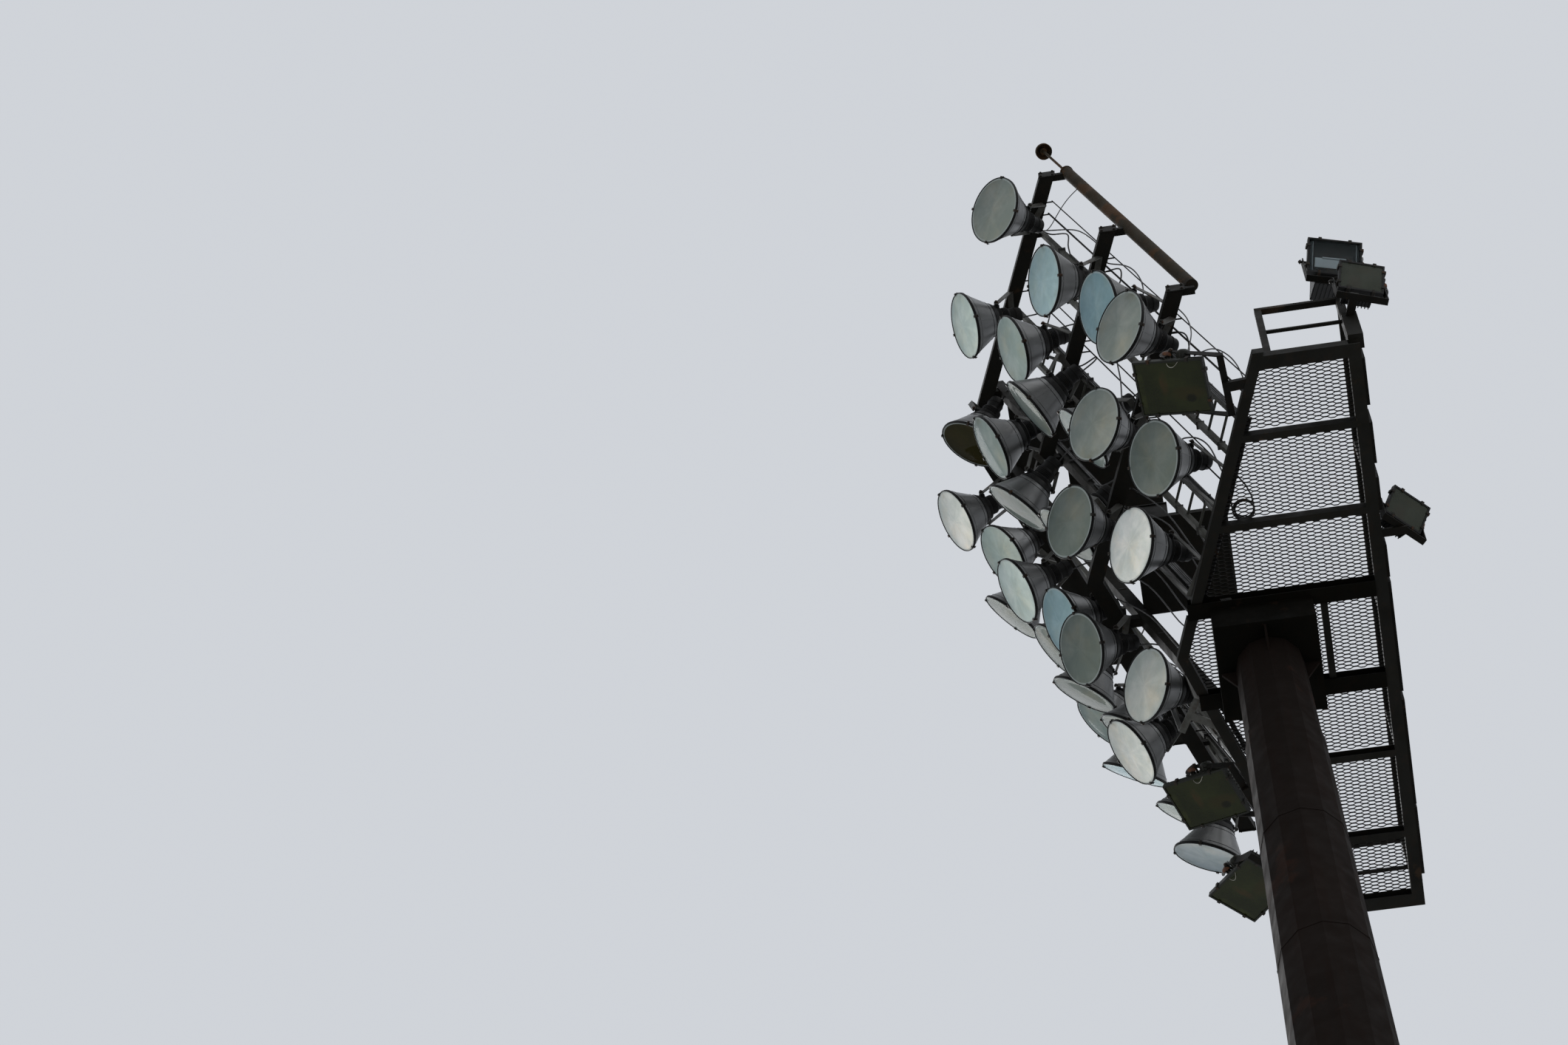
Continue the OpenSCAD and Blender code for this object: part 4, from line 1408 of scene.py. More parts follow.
@dataclass
class ExpandedDeck:
    """Expanded metal of the deck, one wavy strand after the other."""

    fin: Finishes
    long_way: float = 0.1016
    short_way: float = 0.0295
    strand: float = 0.0071
    thick: float = 0.0050
    bond: float = 0.028
    top: float = DECK - 0.002
    back: float = 0.83
    edge_gap: float = 0.038

    def bays(self) -> list[tuple[float, float]]:
        """Finds the stretches of X between the channels under the deck.

        Returns:
            Low and high end of each.
        """
        out = [(-0.30, 0.30)]
        for s in (-1, 1):
            for a, b in ((0.42, 0.935), (0.985, 1.595), (1.645, 2.12)):
                out.append((min(s * a, s * b), max(s * a, s * b)))
        return out

    def build(self) -> None:
        """Builds the strands of every bay and stands them for the plain sheet."""
        shape = Shape()
        half, pitch = self.short_way / 2, self.long_way
        swing = half / 2 - self.strand * 0.15
        cells = [(0.0, 1), (self.bond, 1), (pitch / 2, -1), (pitch / 2 + self.bond, -1)]
        for low, high in self.bays():
            first = math.ceil((low + half * 0.5) / half)
            last = math.floor((high - half * 0.5) / half)
            for i in range(first, last + 1):
                x = i * half
                front = EDGE.y(x) + self.edge_gap / math.cos(math.radians(EDGE.angle))
                phase = 0.0 if i % 2 else pitch / 2
                k0 = math.floor((front - phase) / pitch) - 1
                k1 = math.ceil((self.back - phase) / pitch) + 1
                line = [(phase + k * pitch + y, x + s * swing) for k in range(k0, k1 + 1) for y, s in cells]
                line = self.clip(line, front, self.back)
                if len(line) > 1:
                    self.strand_mesh(shape, line)
        shape.piece("expanded_deck", [self.fin["deck_steel"]], TOWER, ["mesh_deck"])

    def clip(self, line: list[tuple[float, float]], low: float, high: float) -> list[tuple[float, float]]:
        """Cuts a strand at the front and back of its bay.

        Args:
            line: points as (y, x).
            low: front limit.
            high: back limit.

        Returns:
            The points that are left, with new ends.
        """
        out = []
        for (y0, x0), (y1, x1) in zip(line, line[1:]):
            if y1 <= low or y0 >= high:
                continue
            a, b = max(y0, low), min(y1, high)
            p = (a, x0 + (x1 - x0) * (a - y0) / (y1 - y0))
            q = (b, x0 + (x1 - x0) * (b - y0) / (y1 - y0))
            if not out:
                out.append(p)
            out.append(q)
        return out

    def strand_mesh(self, shape: Shape, line: list[tuple[float, float]]) -> None:
        """Adds one strand as a thin bar.

        Args:
            shape: the piece it belongs to.
            line: its middle as (y, x).
        """
        points, faces = [], []
        w, top, low = self.strand / 2, self.top, self.top - self.thick
        for y, x in line:
            points += [(x - w, y, low), (x + w, y, low), (x + w, y, top), (x - w, y, top)]
        n = len(line)
        for i in range(n - 1):
            for k in range(4):
                m = (k + 1) % 4
                faces.append((4 * i + k, 4 * i + m, 4 * i + 4 + m, 4 * i + 4 + k))
        faces.append((3, 2, 1, 0))
        faces.append((4 * n - 4, 4 * n - 3, 4 * n - 2, 4 * n - 1))
        shape.add(points, faces)


# Flood units


class FloodKind(Enum):
    """The two kinds of flood unit."""

    FRONT = "front"
    REAR = "rear"


@dataclass
class FloodUnit:
    """One tilting flood unit, in metres and degrees. Outlines are radius and height."""

    number: int
    at: tuple[float, float, float]
    pan: float
    tilt: float
    width: float
    height: float
    kind: FloodKind
    pane: str
    fin: Finishes
    shell_inset: float = .008
    back_share: float = .36
    shell_depth: float = .105
    seal: float = .0145
    corner: float = .012
    wall: float = .016
    cap: Profile = ((0, .028), (.034, .028), (.037, .034), (.035, .052), (.026, .060), (0, .062))
    neck: Profile = ((0, -.006), (.022, -.006), (.022, .024), (.018, .030), (0, .032))
    knob: Profile = ((0, 0), (.044, 0), (.049, .012), (.049, .048), (.040, .064), (.022, .072), (0, .073))
    tube: Profile = ((0, -.09), (.008, -.088), (.008, .088), (0, .09))

    @property
    def body(self) -> str:
        """CAD body it moves with."""
        return f"flood_unit_{self.number}"

    @property
    def frame(self) -> Matrix:
        """Frame at the trunnion with the glass towards -Y."""
        return spot(*self.at) @ turn(self.pan, "Z") @ turn(self.tilt, "X")

    @property
    def shell(self) -> str:
        """Finish of its housing."""
        return "flood_green" if self.kind is FloodKind.FRONT else "flood_black"

    def slot(self, part: str) -> str:
        """Finds a material slot of the record.

        Args:
            part: glass or housing.

        Returns:
            The slot.
        """
        if part == "glass":
            return "flood_glass" if self.kind is FloodKind.FRONT else "flood_glass_clear"
        return "flood_housing" if self.kind is FloodKind.FRONT else "flood_housing_black"

    @property
    def fall(self) -> float:
        """How much its sloping side comes in from front to back."""
        return self.width / 2 - self.shell_inset - self.width * self.back_share

    @property
    def flank(self) -> float:
        """Distance of the fittings on its sloping side from the middle."""
        return self.width / 2 - self.shell_inset - self.fall * .45 / 1.05

    def build_fittings(self) -> None:
        """Clips round the frame, knob, quadrant, cap and trunnion bolts."""
        shape = Shape()
        w, h, f = self.width / 2, self.height / 2, self.frame
        for s in (-1, 1):
            for k in (-0.55, 0.55):
                shape.box((.014, .050, .026), f @ spot(s * (w + .0045), -.088, k * h), 1, .002)
                shape.box((.026, .006, .020), f @ spot(s * (w - .006), -.1125, k * h), 1, .002)
                shape.box((.026, .050, .014), f @ spot(k * w, -.088, s * (h + .0045)), 1, .002)
                shape.box((.020, .006, .026), f @ spot(k * w, -.1125, s * (h - .006)), 1, .002)
            shape.bolt(f @ turn(90 * s, "Y") @ spot(0, 0, w + .034), .030, .012, 1)
        angles = [math.radians(20 + 14 * k) for k in range(11)]
        quadrant = [(0, 0)] + [(.085 * math.cos(a), .085 * math.sin(a)) for a in angles]
        shape.prism(quadrant, .003, f @ spot(w + .013, 0, 0) @ turn(90, "X") @ turn(90, "Y"), 1)
        slope = math.degrees(math.atan(self.fall / self.shell_depth))
        outward = turn(slope - 90, "Z") @ turn(-90, "X")
        top = f @ spot(self.flank, -.020, h * .12) @ outward
        shape.lathe(self.neck, 16, top, 0)
        shape.lathe(self.cap, 18, top, 2)
        knob = f @ spot(self.flank, -.020, -h * .34) @ outward
        shape.lathe(self.knob, 24, knob, 0)
        for k in range(12):
            shape.box((.007, .007, .036), knob @ turn(30 * k, "Z") @ spot(.0495, 0, .030), 0, .001)
        finishes = [self.fin[self.shell], self.fin["bolt_steel"], self.fin["rusty_cap"]]
        shape.piece(f"flood_fittings_{self.number}", finishes, self.body)

    def build_inside(self) -> None:
        """Trough behind a clear glass: side cheeks, back sheet and tube lamp."""
        if self.pane != "clear_pane":
            return
        shape = Shape()
        w, h, f = self.width / 2 - self.wall, self.height / 2 - self.wall, self.frame
        for s in (-1, 1):
            cheek = f @ spot(s * (w - .018), -.079, 0) @ turn(-22 * s, "Z")
            shape.box((.003, .042, 2 * h - .01), cheek, 0, .001)
        sheet = (2 * w - .09, .003, h * 0.9)
        shape.box(sheet, f @ spot(0, -.066, h * .45) @ turn(-8, "X"), 1, .001)
        shape.box(sheet, f @ spot(0, -.070, -h * .45) @ turn(10, "X"), 0, .001)
        shape.lathe(self.tube, 16, f @ spot(0, -.082, 0) @ turn(90, "Y"), 0)
        finishes = [self.fin["cheek_metal"], self.fin["flood_black"]]
        shape.piece(f"flood_trough_{self.number}", finishes, self.body)

    def build_pane(self) -> None:
        """Glass with rounded corners, inside the seal of its frame."""
        shape = Shape()
        c, steps, outline = self.corner, 4, []
        w, h = self.width / 2 - self.seal - c, self.height / 2 - self.seal - c
        for cx, cz, a0 in ((1, 1, 0), (-1, 1, 90), (-1, -1, 180), (1, -1, 270)):
            for k in range(steps + 1):
                a = math.radians(a0 + 90 * k / steps)
                outline.append((cx * w + c * math.cos(a), cz * h + c * math.sin(a)))
        n = len(outline)
        points = [(x, -.104, z) for x, z in outline] + [(x, -.099, z) for x, z in outline]
        faces = [list(range(n)), list(range(n, 2 * n))[::-1]]
        faces += [[k, n + k, n + (k + 1) % n, (k + 1) % n] for k in range(n)]
        shape.add(points, faces, self.frame)
        shape.piece(f"flood_glass_{self.number}", [self.fin[self.pane]], self.body,
                    [f"flood_pane_{self.number}"])

    def build(self) -> None:
        """Builds every piece of the unit and paints its CAD housing."""
        self.fin.paint_node(f"flood_body_{self.number}", self.shell)
        self.build_fittings()
        self.build_inside()
        self.build_pane()


# Wiring


def rail_y(x: float, z: float) -> float:
    """Middle of a raking rail at a station and height."""
    foot = EDGE.y(x) + .01
    return foot + (TIER_A.y(x) + .11 - foot) * (z - DECK) / (TIER_A.z - DECK)


@dataclass(frozen=True)
class Carrier:
    """A mast or rail that carries cables down to the deck."""

    x: float
    half: float

    def y(self, z: float) -> float:
        """Its middle at a height."""
        return mast_y(z) if abs(self.x) < MAST_X + .01 else rail_y(self.x, z)

    @property
    def down(self) -> Vector:
        """Direction down along it."""
        return Vector((0, self.y(27) - self.y(28), -1)).normalized()

    def clip(self, side: float, z: float, number: int) -> Vector:
        """Place of a cable on its side or back.

        Args:
            side: side that the cable comes from, -1 or 1.
            z: height.
            number: how many cables lie there already.

        Returns:
            Middle of the cable.
        """
        row, col = divmod(number, 4)
        return Vector((self.x + side * (self.half + .009 + .014 * row), self.y(z) + .021 - .014 * col, z))


# Stations of the mast and the rails on each side of the middle
CARRIERS = (MAST_X, 0.85, 1.06, 1.48, 1.74)


@dataclass(frozen=True)
class HandLead:
    """A cable whose route is listed. One that names a flood unit is left on no body."""

    name: str
    thick: float
    route: tuple[tuple[float, float, float], ...]
    unit: int = 0
    bend: tuple[float, float, float] = (0, 0, 0)


HAND_LEADS = (
    HandLead("pipe_wire", .008, (
        (2.23, -.93, 31.50), (2.19, -1.03, 31.38), (2.10, -1.12, 31.33), (2.00, -1.18, 31.38),
        (1.90, -1.24, 31.50), (1.850, -1.30, 31.672))),
    HandLead("lead_over_tier_b", .011, (
        (1.85, -1.31, 31.69), (1.87, -1.22, 31.60), (1.91, -1.11, 31.42), (1.96, -1.00, 31.22),
        (1.98, -.92, 30.95), (1.985, -.83, 30.60), (1.985, -.77, 30.30), (1.985, -.775, 30.10))),
    HandLead("lead_c_up_1", .011, (
        (2.06, -.54, 28.74), (2.08, -.516, 28.90), (2.105, -.53, 29.10), (2.11, -.573, 29.35),
        (2.08, -.63, 29.60), (2.04, -.70, 29.80), (2.00, -.755, 29.95), (1.985, -.775, 30.06))),
    HandLead("lead_c_down_2", .012, (
        (1.437, -.800, 29.20), (1.440, -.800, 29.05), (1.400, -.790, 28.85), (1.345, -.800, 28.60),
        (1.315, -.800, 28.40), (1.318, -.760, 28.29))),
    HandLead("lead_d_up_1", .012, (
        (1.330, -.394, 27.50), (1.364, -.343, 27.45), (1.374, -.290, 27.40), (1.355, -.215, 27.25),
        (1.338, -.178, 27.00), (1.315, -.150, 26.75), (1.310, -.120, 26.61))),
    HandLead("lead_flood_1_up", .010, (
        (2.215, -.285, 26.80), (2.235, -.255, 26.95), (2.215, -.224, 27.30), (2.190, -.237, 27.70),
        (2.155, -.272, 28.00), (2.115, -.290, 28.20)), 1, (0, .03, .50)),
    HandLead("lead_flood_1_down", .010, (
        (2.195, -.235, 26.80), (2.175, -.157, 26.95), (2.132, -.095, 27.10), (2.065, -.040, 27.25),
        (2.045, .029, 27.12), (2.020, .068, 26.95), (1.985, .090, 26.78), (1.960, .092, 26.612)),
        1, (-.12, .18, 0)),
)


@dataclass
class Wiring:
    """Leads from the projectors to the rails, and the cables tied down the rails."""

    fin: Finishes
    thick: float = 0.013
    seed: int = 7
    lead_easing: int = 3
    hand_easing: int = 24
    top_row_rise: float = -.55
    tie_gap: float = .45
    strap_low: float = 26.85
    strap_high: float = 31.6
    strap_gap: float = .5
    bunch_pitch: float = .013
    mast_half: float = .045
    rail_half: float = .02
    feeds: tuple[float, ...] = (-1.15, -.92, -.66, -.17, .10, .24, .58, .72)
    conduits: Profile = ((1.27, .006), (1.36, .0055), (1.915, .008), (2.02, .005))
    used: dict[tuple[float, float], int] = field(default_factory=dict)

    def carrier(self, x: float) -> Carrier:
        """The mast or rail at a station."""
        return Carrier(x, self.mast_half if abs(x) == MAST_X else self.rail_half)

    def nearest(self, lamp: Projector) -> Carrier:
        """Chooses what takes a projector's lead.

        Args:
            lamp: the projector.

        Returns:
            The mast or rail.
        """
        side = -1.0 if lamp.x < 0 else 1.0
        return self.carrier(side * min(CARRIERS, key=lambda c: abs(abs(lamp.x) * MM - c - .04)))

    def build_leads(self) -> None:
        """One free lead for each projector, from its gland to a tie, and its run down from there."""
        tied = Shape()
        rng = random.Random(self.seed)
        by_hand = [lead.name for lead in HAND_LEADS]
        for row, (beam, lift, lamps) in ROWS.items():
            for k, lamp in enumerate(lamps):
                at = lamp.frame(beam, lift)
                gland = at @ turn(200, "Z")
                start = gland @ Vector((.030, 0, -.2285))
                out = (gland.to_3x3() @ Vector((0, 0, -1))).normalized()
                carrier = self.nearest(lamp)
                side = 1.0 if start.x > carrier.x else -1.0
                key = (carrier.x, side)
                number = self.used[key] = self.used.get(key, -1) + 1
                rise = self.top_row_rise if beam is TIER_A else rng.uniform(.42, .80)
                top = min(start.z + rise, TIER_A.z - .02 - .03 * number)
                end = carrier.clip(side, top, number)
                along = carrier.down * math.copysign(1.0, rise)
                below = end + along * .16 + Vector((side * .03, .03, 0))
                far = start + out * .13
                loop = (far + below) / 2 + Vector((side * rng.uniform(.03, .09), rng.uniform(.06, .13), -.03))
                name = f"lead_{row}_{k + 1}"
                if name not in by_hand:
                    self.lead(name, smooth_path([start, start + out * .05, far, loop, below, end], 8))
                low, z, run = DECK + .03, top, [end]
                while z - self.tie_gap > low:
                    z -= self.tie_gap
                    p = carrier.clip(side, z, number)
                    run.append(p + Vector((side * rng.uniform(0, .003), rng.uniform(-.003, .003), 0)))
                run.append(carrier.clip(side, low, number))
                tied.tube(smooth_path(run, 2), self.thick / 2, 6)
        self.build_ties(tied)
        tied.piece("tied_cables", [self.fin["black_sheath"]], TOWER)

    def lead(self, name: str, path: list[Vector], thick: float = 0.0, body: str | None = TOWER,
             sheath: str = "black_sheath", slot: str = "lamp_housing",
             lay: str = "hanging") -> bpy.types.Object:
        """Args:
            name: of the piece.
            path: its middle line.
            thick: diameter, or none for a projector's lead.
            body: CAD body it rides on.
            sheath: finish.
            slot: not used.
            lay: how it lies.

        Returns:
            The new piece.
        """
        thick = thick or self.thick
        if lay != "coiled":
            path = eased_path(path, self.lead_easing if thick == self.thick else self.hand_easing)
        shape = Shape()
        shape.tube(path, thick / 2, 10)
        made = shape.piece(name, [self.fin[sheath]], body)
        length = sum((b - a).length for a, b in zip(path, path[1:]))
        tuple(path[0])
        return made

    def build_hand_leads(self) -> None:
        """The cables with a route of their own."""
        for lead in HAND_LEADS:
            path = smooth_path([Vector(p) for p in lead.route], 6)
            made = self.lead(lead.name, path, lead.thick, None if lead.unit else TOWER)
            if lead.unit:
                tuple(path[1])
                tuple(path[1] + Vector(lead.bend))
                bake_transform(made)

    def build_feeds(self) -> None:
        """Cables that hang from the back of the lowest tier to the front edge of the deck."""
        rng = random.Random(self.seed + 1)
        shape = Shape()
        for x in self.feeds:
            away = x + rng.uniform(-.10, .10)
            start = Vector((x, TIER_C.y(x) + .066, TIER_C.z - .02))
            end = Vector((away, EDGE.y(away) + .02, DECK + .006))
            sag = rng.uniform(.06, .16)
            upper = start.lerp(end, .36) + Vector((sag * .5, sag, -.05))
            lower = start.lerp(end, .72) + Vector((-sag * .3, sag * .9, -.04))
            path = [start, start + Vector((0, .05, -.05)), upper, lower, end + Vector((0, .02, .10)), end]
            shape.tube(smooth_path(path, 5), .0055, 8)
        shape.piece("feed_cables", [self.fin["black_sheath"]], TOWER)

    def build_flood_loops(self) -> None:
        """Pale wire on each front flood unit, from its cap over the edge of the glass to the knob."""
        for unit in flood_units(self.fin):
            if unit.kind is FloodKind.FRONT:
                w, h, f = unit.width / 2, unit.height / 2, unit.frame
                side = unit.flank + .020
                route = ((side, -.050, h * .09), (w + .006, -.105, h * .07), (w - .045, -.134, h * .03),
                         (w - .090, -.138, -h * .12), (w - .050, -.134, -h * .27),
                         (w + .004, -.112, -h * .32), (side, -.066, -h * .34))
                path = smooth_path([f @ Vector(p) for p in route], 8)
                self.lead(f"flood_loop_{unit.number}", path, .0045, unit.body, "pale_sheath",
                          unit.slot("housing"), "loose")

    def build_ties(self, shape: Shape) -> None:
        """Straps that hold the cables, and the bunch along the front edge.

        Args:
            shape: the piece they belong to.
        """
        for (x, side), last in self.used.items():
            carrier = self.carrier(x)
            rows = last // 4 + 1
            wide = 2 * carrier.half + .018 * rows
            for k in range(int((self.strap_high - self.strap_low) / self.strap_gap) + 1):
                z = self.strap_low + self.strap_gap * k
                middle = spot(carrier.x + side * .007 * rows, carrier.y(z) + .001, z)
                shape.box((wide + .004, .062, .008), middle, 0, .001)
        pitch = self.bunch_pitch
        for s in (-1, 1):
            for k in range(6):
                path = []
                for j in range(15):
                    x = s * (CARRIERS[-1] - .095 * j)
                    y = EDGE.y(x) + .056 + pitch * (k % 3) + .004 * math.sin(2.1 * j + k)
                    path.append(Vector((x, y, DECK + .012 + pitch * (k // 3))))
                path.append(Vector((s * .41, -.30 + pitch * k, DECK + .004)))
                path.append(Vector((s * .36, -.26 + pitch * k, DECK - .03)))
                shape.tube(smooth_path(path, 2), .0062, 6)

    def build_conduits(self) -> None:
        """Thin conduits and straining wires from the top tier to the deck edge."""
        shape = Shape()
        for s in (-1, 1):
            for x, r in self.conduits:
                levels = (DECK - .04, TIER_C.z, TIER_B.z, TIER_A.z)
                pts = [Vector((s * x, rail_y(x, z), z)) for z in levels]
                shape.tube(pts, r, 8)
                for beam in (TIER_A, TIER_B, TIER_C):
                    y = beam.y(x) + .058 / math.cos(math.radians(beam.angle))
                    reach = rail_y(x, beam.z) - y + .004
                    shape.box((.012, reach, .004), spot(s * x, y + reach / 2, beam.z - .03), 0, .001)
        shape.piece("conduits", [self.fin["frame_paint"]], TOWER)

    def build_coil(self) -> None:
        """Spare cable coiled on the deck; both its tails go back to the front edge."""
        floor = DECK + .006
        middle, turns, steps = Vector((1.047, -.03, floor)), 3.5, 16
        tail = ((1.40, -.112), (1.31, -.117), (1.22, -.118), (1.13, -.1165))
        path = [Vector((x, y, floor)) for x, y in tail]
        for k in range(int(turns * steps) + 1):
            a = math.radians(-90 - 360 * k / steps)
            r = .074 + .0065 * math.cos(math.radians(180 * k / steps))
            path.append(middle + Vector((r * math.cos(a), r * math.sin(a), .0125 * k / steps)))
        path += [Vector((1.14, .036, DECK + .040)), Vector((1.23, .005, DECK + .020)),
                 Vector((1.31, -.042, DECK + .008)), Vector((1.38, -.082, floor))]
        self.lead("spare_coil", path, .012, lay="coiled")

    def build(self) -> None:
        """Builds all cables."""
        self.build_leads()
        self.build_hand_leads()
        self.build_feeds()
        self.build_flood_loops()
        self.build_conduits()
        self.build_coil()


# The rest of the steel


# head_box and main_beams take the darker copy of the frame paint, as painted shade.
NODE_FINISH = {
    "base_flange": "foot_paint", "shaft_lower": "shaft_paint", "shaft_middle": "shaft_paint",
    "shaft_upper": "shaft_paint", "shaft_top": "shaft_paint", "head_box": "under_paint",
    "main_beams": "under_paint", "cross_members": "frame_paint", "front_edge": "frame_paint",
    "back_edge": "frame_paint", "railings": "frame_paint", "corner_post": "frame_paint",
    "gear_boxes": "box_paint", "gear_cabinet": "box_paint", "landing_low": "frame_paint",
    "landing_mid": "frame_paint", "landing_top": "frame_paint", "masts": "frame_paint",
    "wing_braces": "rail_zinc", "tier_low": "frame_paint", "tier_mid": "frame_paint",
    "tier_top": "frame_paint", "end_pipe": "pipe_rust", "finial": "pipe_rust", "yokes_upper": "zinc",
    "yokes_lower": "zinc", "front_flood_yokes": "box_paint", "rear_flood_yokes": "box_paint",
}


@dataclass
class PlainSteel:
    """The CAD nodes that stay in view and only get a finish."""

    fin: Finishes

    def build(self) -> None:
        """Paints every node."""
        for node, finish in NODE_FINISH.items():
            self.fin.paint_node(node, finish)
            log.info("%s: %s", node, finish)


@dataclass
class Fasteners:
    """Bolts of the foot and of the tier ends."""

    fin: Finishes
    anchors: int = 12
    circle: float = 0.65
    flange_top: float = .060
    washer: Profile = ((0, 0), (.040, 0), (.040, .006), (0, .006))
    nut: Profile = ((0, .006), (.0375, .006), (.0375, .036), (.034, .040), (0, .040))
    stud: Profile = ((0, .040), (.021, .040), (.021, .086), (.018, .089), (0, .089))
    plate_x: float = 2.26

    def build(self) -> None:
        """Builds the anchor nuts and the frame bolts."""
        foot = Shape()
        for k in range(self.anchors):
            at = turn(360 / self.anchors * k, "Z") @ spot(self.circle, 0, self.flange_top)
            foot.lathe(self.washer, 24, at, 0, False)
            foot.lathe(self.nut, 6, at, 0, False)
            foot.lathe(self.stud, 20, at, 0)
        foot.piece("anchor_nuts", [self.fin["bolt_steel"]], TOWER)
        shape = Shape()
        for beam in (TIER_A, TIER_B, TIER_C):
            for s in (-1, 1):
                for dy in (-.05, .05):
                    for dz in (-.045, .045):
                        at = spot(s * self.plate_x, beam.end + dy, beam.z + dz, turn(90 * s, "Y"))
                        shape.bolt(at, .022, .010)
        shape.piece("frame_bolts", [self.fin["bolt_steel"]], TOWER)


# Studio


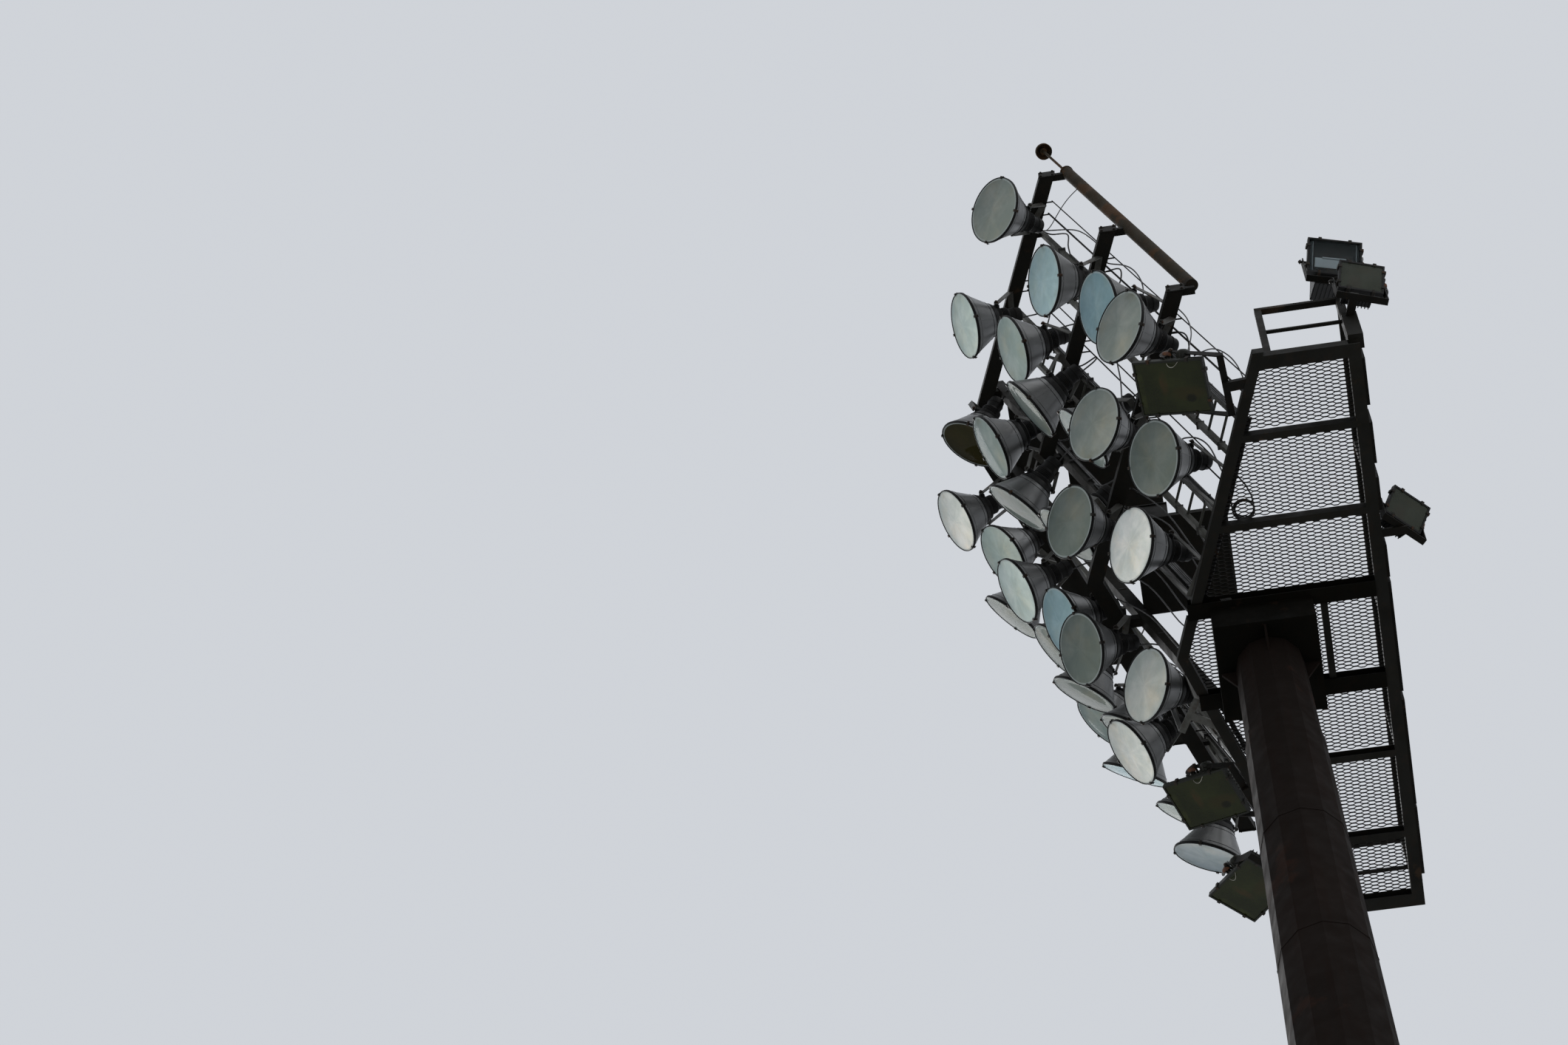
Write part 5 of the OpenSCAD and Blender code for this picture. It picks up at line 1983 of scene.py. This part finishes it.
@dataclass
class Studio:
    """Floor, sky, soft lights and the photograph's camera."""

    fin: Finishes
    eye: tuple[float, float, float] = (10.618, -0.608, 1.6)
    lens: float = 84.86
    sensor: float = 36.0
    right: tuple[float, float, float] = (-0.163, 0.9855, 0.0472)
    back: tuple[float, float, float] = (0.3429, 0.1014, -0.9339)
    floor_half: float = 120.0
    floor_level: float = -.002
    bounced: Colour = (0.45, 0.45, 0.44)
    seen_floor: Colour = (0.60, 0.61, 0.62)
    sky_light: Colour = (0.96, 0.98, 1.0)
    sky_strength: float = 0.62
    seen_sky: Colour = (0.63, 0.655, 0.695)
    suns: tuple[tuple[str, float, float, float, float], ...] = (("key", 1.5, 35, 38, -60),
                                                                ("fill", 0.7, 60, 55, 130))

    def build_floor(self) -> None:
        """A plain pale floor under the foot."""
        mesh = bpy.data.meshes.new("floor")
        s, z = self.floor_half, self.floor_level
        mesh.from_pydata([(-s, -s, z), (s, -s, z), (s, s, z), (-s, s, z)], [], [(0, 1, 2, 3)])
        floor = bpy.data.objects.new("floor", mesh)
        bpy.context.scene.collection.objects.link(floor)
        made = bpy.data.materials.new("floor_paint")
        made.use_nodes = True
        tree = made.node_tree
        shader = tree.nodes["Principled BSDF"]
        pale = add_node(tree, "Mix", data_type="RGBA")
        pale.inputs["A"].default_value = (*self.bounced, 1)
        pale.inputs["B"].default_value = (*self.seen_floor, 1)
        tree.links.new(self.seen_rays(tree), pale.inputs["Factor"])
        tree.links.new(pale.outputs["Result"], shader.inputs["Base Color"])
        shader.inputs["Roughness"].default_value = 0.9
        mesh.materials.append(made)

    def seen_rays(self, tree: bpy.types.NodeTree) -> bpy.types.NodeSocket:
        """Finds the rays that show the background: to the camera, in metal and through glass.

        Args:
            tree: of the floor's material or of the world.

        Returns:
            The mask of those rays.
        """
        path = add_node(tree, "LightPath")
        total = path.outputs["Is Camera Ray"]
        for name in ("Is Glossy Ray", "Is Transmission Ray"):
            total = add_math(tree, "MAXIMUM", total, path.outputs[name])
        return total

    def build_sky(self) -> None:
        """Even light, and a pale background for the camera, metal and glass."""
        world = bpy.data.worlds.new("studio")
        bpy.context.scene.world = world
        world.use_nodes = True
        tree = world.node_tree
        tree.nodes.clear()
        out = add_node(tree, "OutputWorld")
        soft = add_node(tree, "Background")
        soft.inputs["Color"].default_value = (*self.sky_light, 1)
        soft.inputs["Strength"].default_value = self.sky_strength
        seen = add_node(tree, "Background")
        seen.inputs["Color"].default_value = (*self.seen_sky, 1)
        seen.inputs["Strength"].default_value = 1.0
        mix = add_node(tree, "MixShader")
        tree.links.new(self.seen_rays(tree), mix.inputs[0])
        tree.links.new(soft.outputs[0], mix.inputs[1])
        tree.links.new(seen.outputs[0], mix.inputs[2])
        tree.links.new(mix.outputs[0], out.inputs["Surface"])

    def build_lights(self) -> None:
        """Two broad, soft suns."""
        for name, power, angle, tilt, pan in self.suns:
            data = bpy.data.lights.new(name, "SUN")
            data.energy = power
            data.angle = math.radians(angle)
            light = bpy.data.objects.new(name, data)
            light.matrix_world = turn(pan, "Z") @ turn(tilt, "X")
            bpy.context.scene.collection.objects.link(light)

    def build_camera(self) -> None:
        """The camera that the photograph was measured with."""
        data = bpy.data.cameras.new("camera")
        data.lens = self.lens
        data.sensor_width = self.sensor
        data.sensor_fit = "HORIZONTAL"
        data.clip_end = 300.0
        camera = bpy.data.objects.new("camera", data)
        back = Vector(self.back).normalized()
        right = Vector(self.right)
        right = (right - back * right.dot(back)).normalized()
        up = back.cross(right)
        turned = Matrix((right, up, back)).transposed().to_4x4()
        camera.matrix_world = Matrix.Translation(self.eye) @ turned
        bpy.context.scene.collection.objects.link(camera)
        bpy.context.scene.camera = camera

    def build(self) -> None:
        """Builds the whole studio."""
        bpy.context.scene.view_settings.view_transform = "Standard"
        self.build_camera()
        self.build_floor()
        self.build_sky()
        self.build_lights()


def flood_units(fin: Finishes) -> list[FloodUnit]:
    """Lists the six flood units.

    Args:
        fin: the finishes.

    Returns:
        The units with their places.
    """
    front, rear = FloodKind.FRONT, FloodKind.REAR
    return [
        FloodUnit(1, (2.000, -0.380, 26.850), -4, 67, .416, .540, front, "olive_pane", fin),
        FloodUnit(2, (-1.240, -0.545, 26.850), -22, 67, .416, .540, front, "olive_pane", fin),
        FloodUnit(3, (-2.017, -0.317, 26.850), -50, 67, .416, .540, front, "olive_pane", fin),
        FloodUnit(4, (2.310, 0.880, 28.100), 105, 38, .405, .311, rear, "clear_pane", fin),
        FloodUnit(5, (2.370, 1.005, 27.330), 108, 34, .330, .255, rear, "grey_pane", fin),
        FloodUnit(6, (0.620, 1.105, 27.200), 133, 40, .325, .250, rear, "grey_pane", fin),
    ]


class Builder(Protocol):
    """A sub-assembly that main can build."""

    def build(self) -> None:
        """Makes its pieces."""


def main() -> None:
    """Builds the studio and every sub-assembly in order, and reports the pieces that each one adds."""
    fin = Finishes()
    banks = [ProjectorBank(name, fin) for name in GROUPS]
    builders: list[Builder] = [Studio(fin), Wiring(fin), PlainSteel(fin), ExpandedDeck(fin), *banks,
                               *flood_units(fin), Fasteners(fin)]
    for builder in builders:
        known = set(bpy.data.objects.keys())
        builder.build()
        for name, thing in bpy.data.objects.items():
            if name not in known and thing.type == "MESH":
                log.info("%s: %s, %d faces", type(builder).__name__, name, len(thing.data.polygons))


if __name__ == "__main__":
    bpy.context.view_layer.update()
    main()
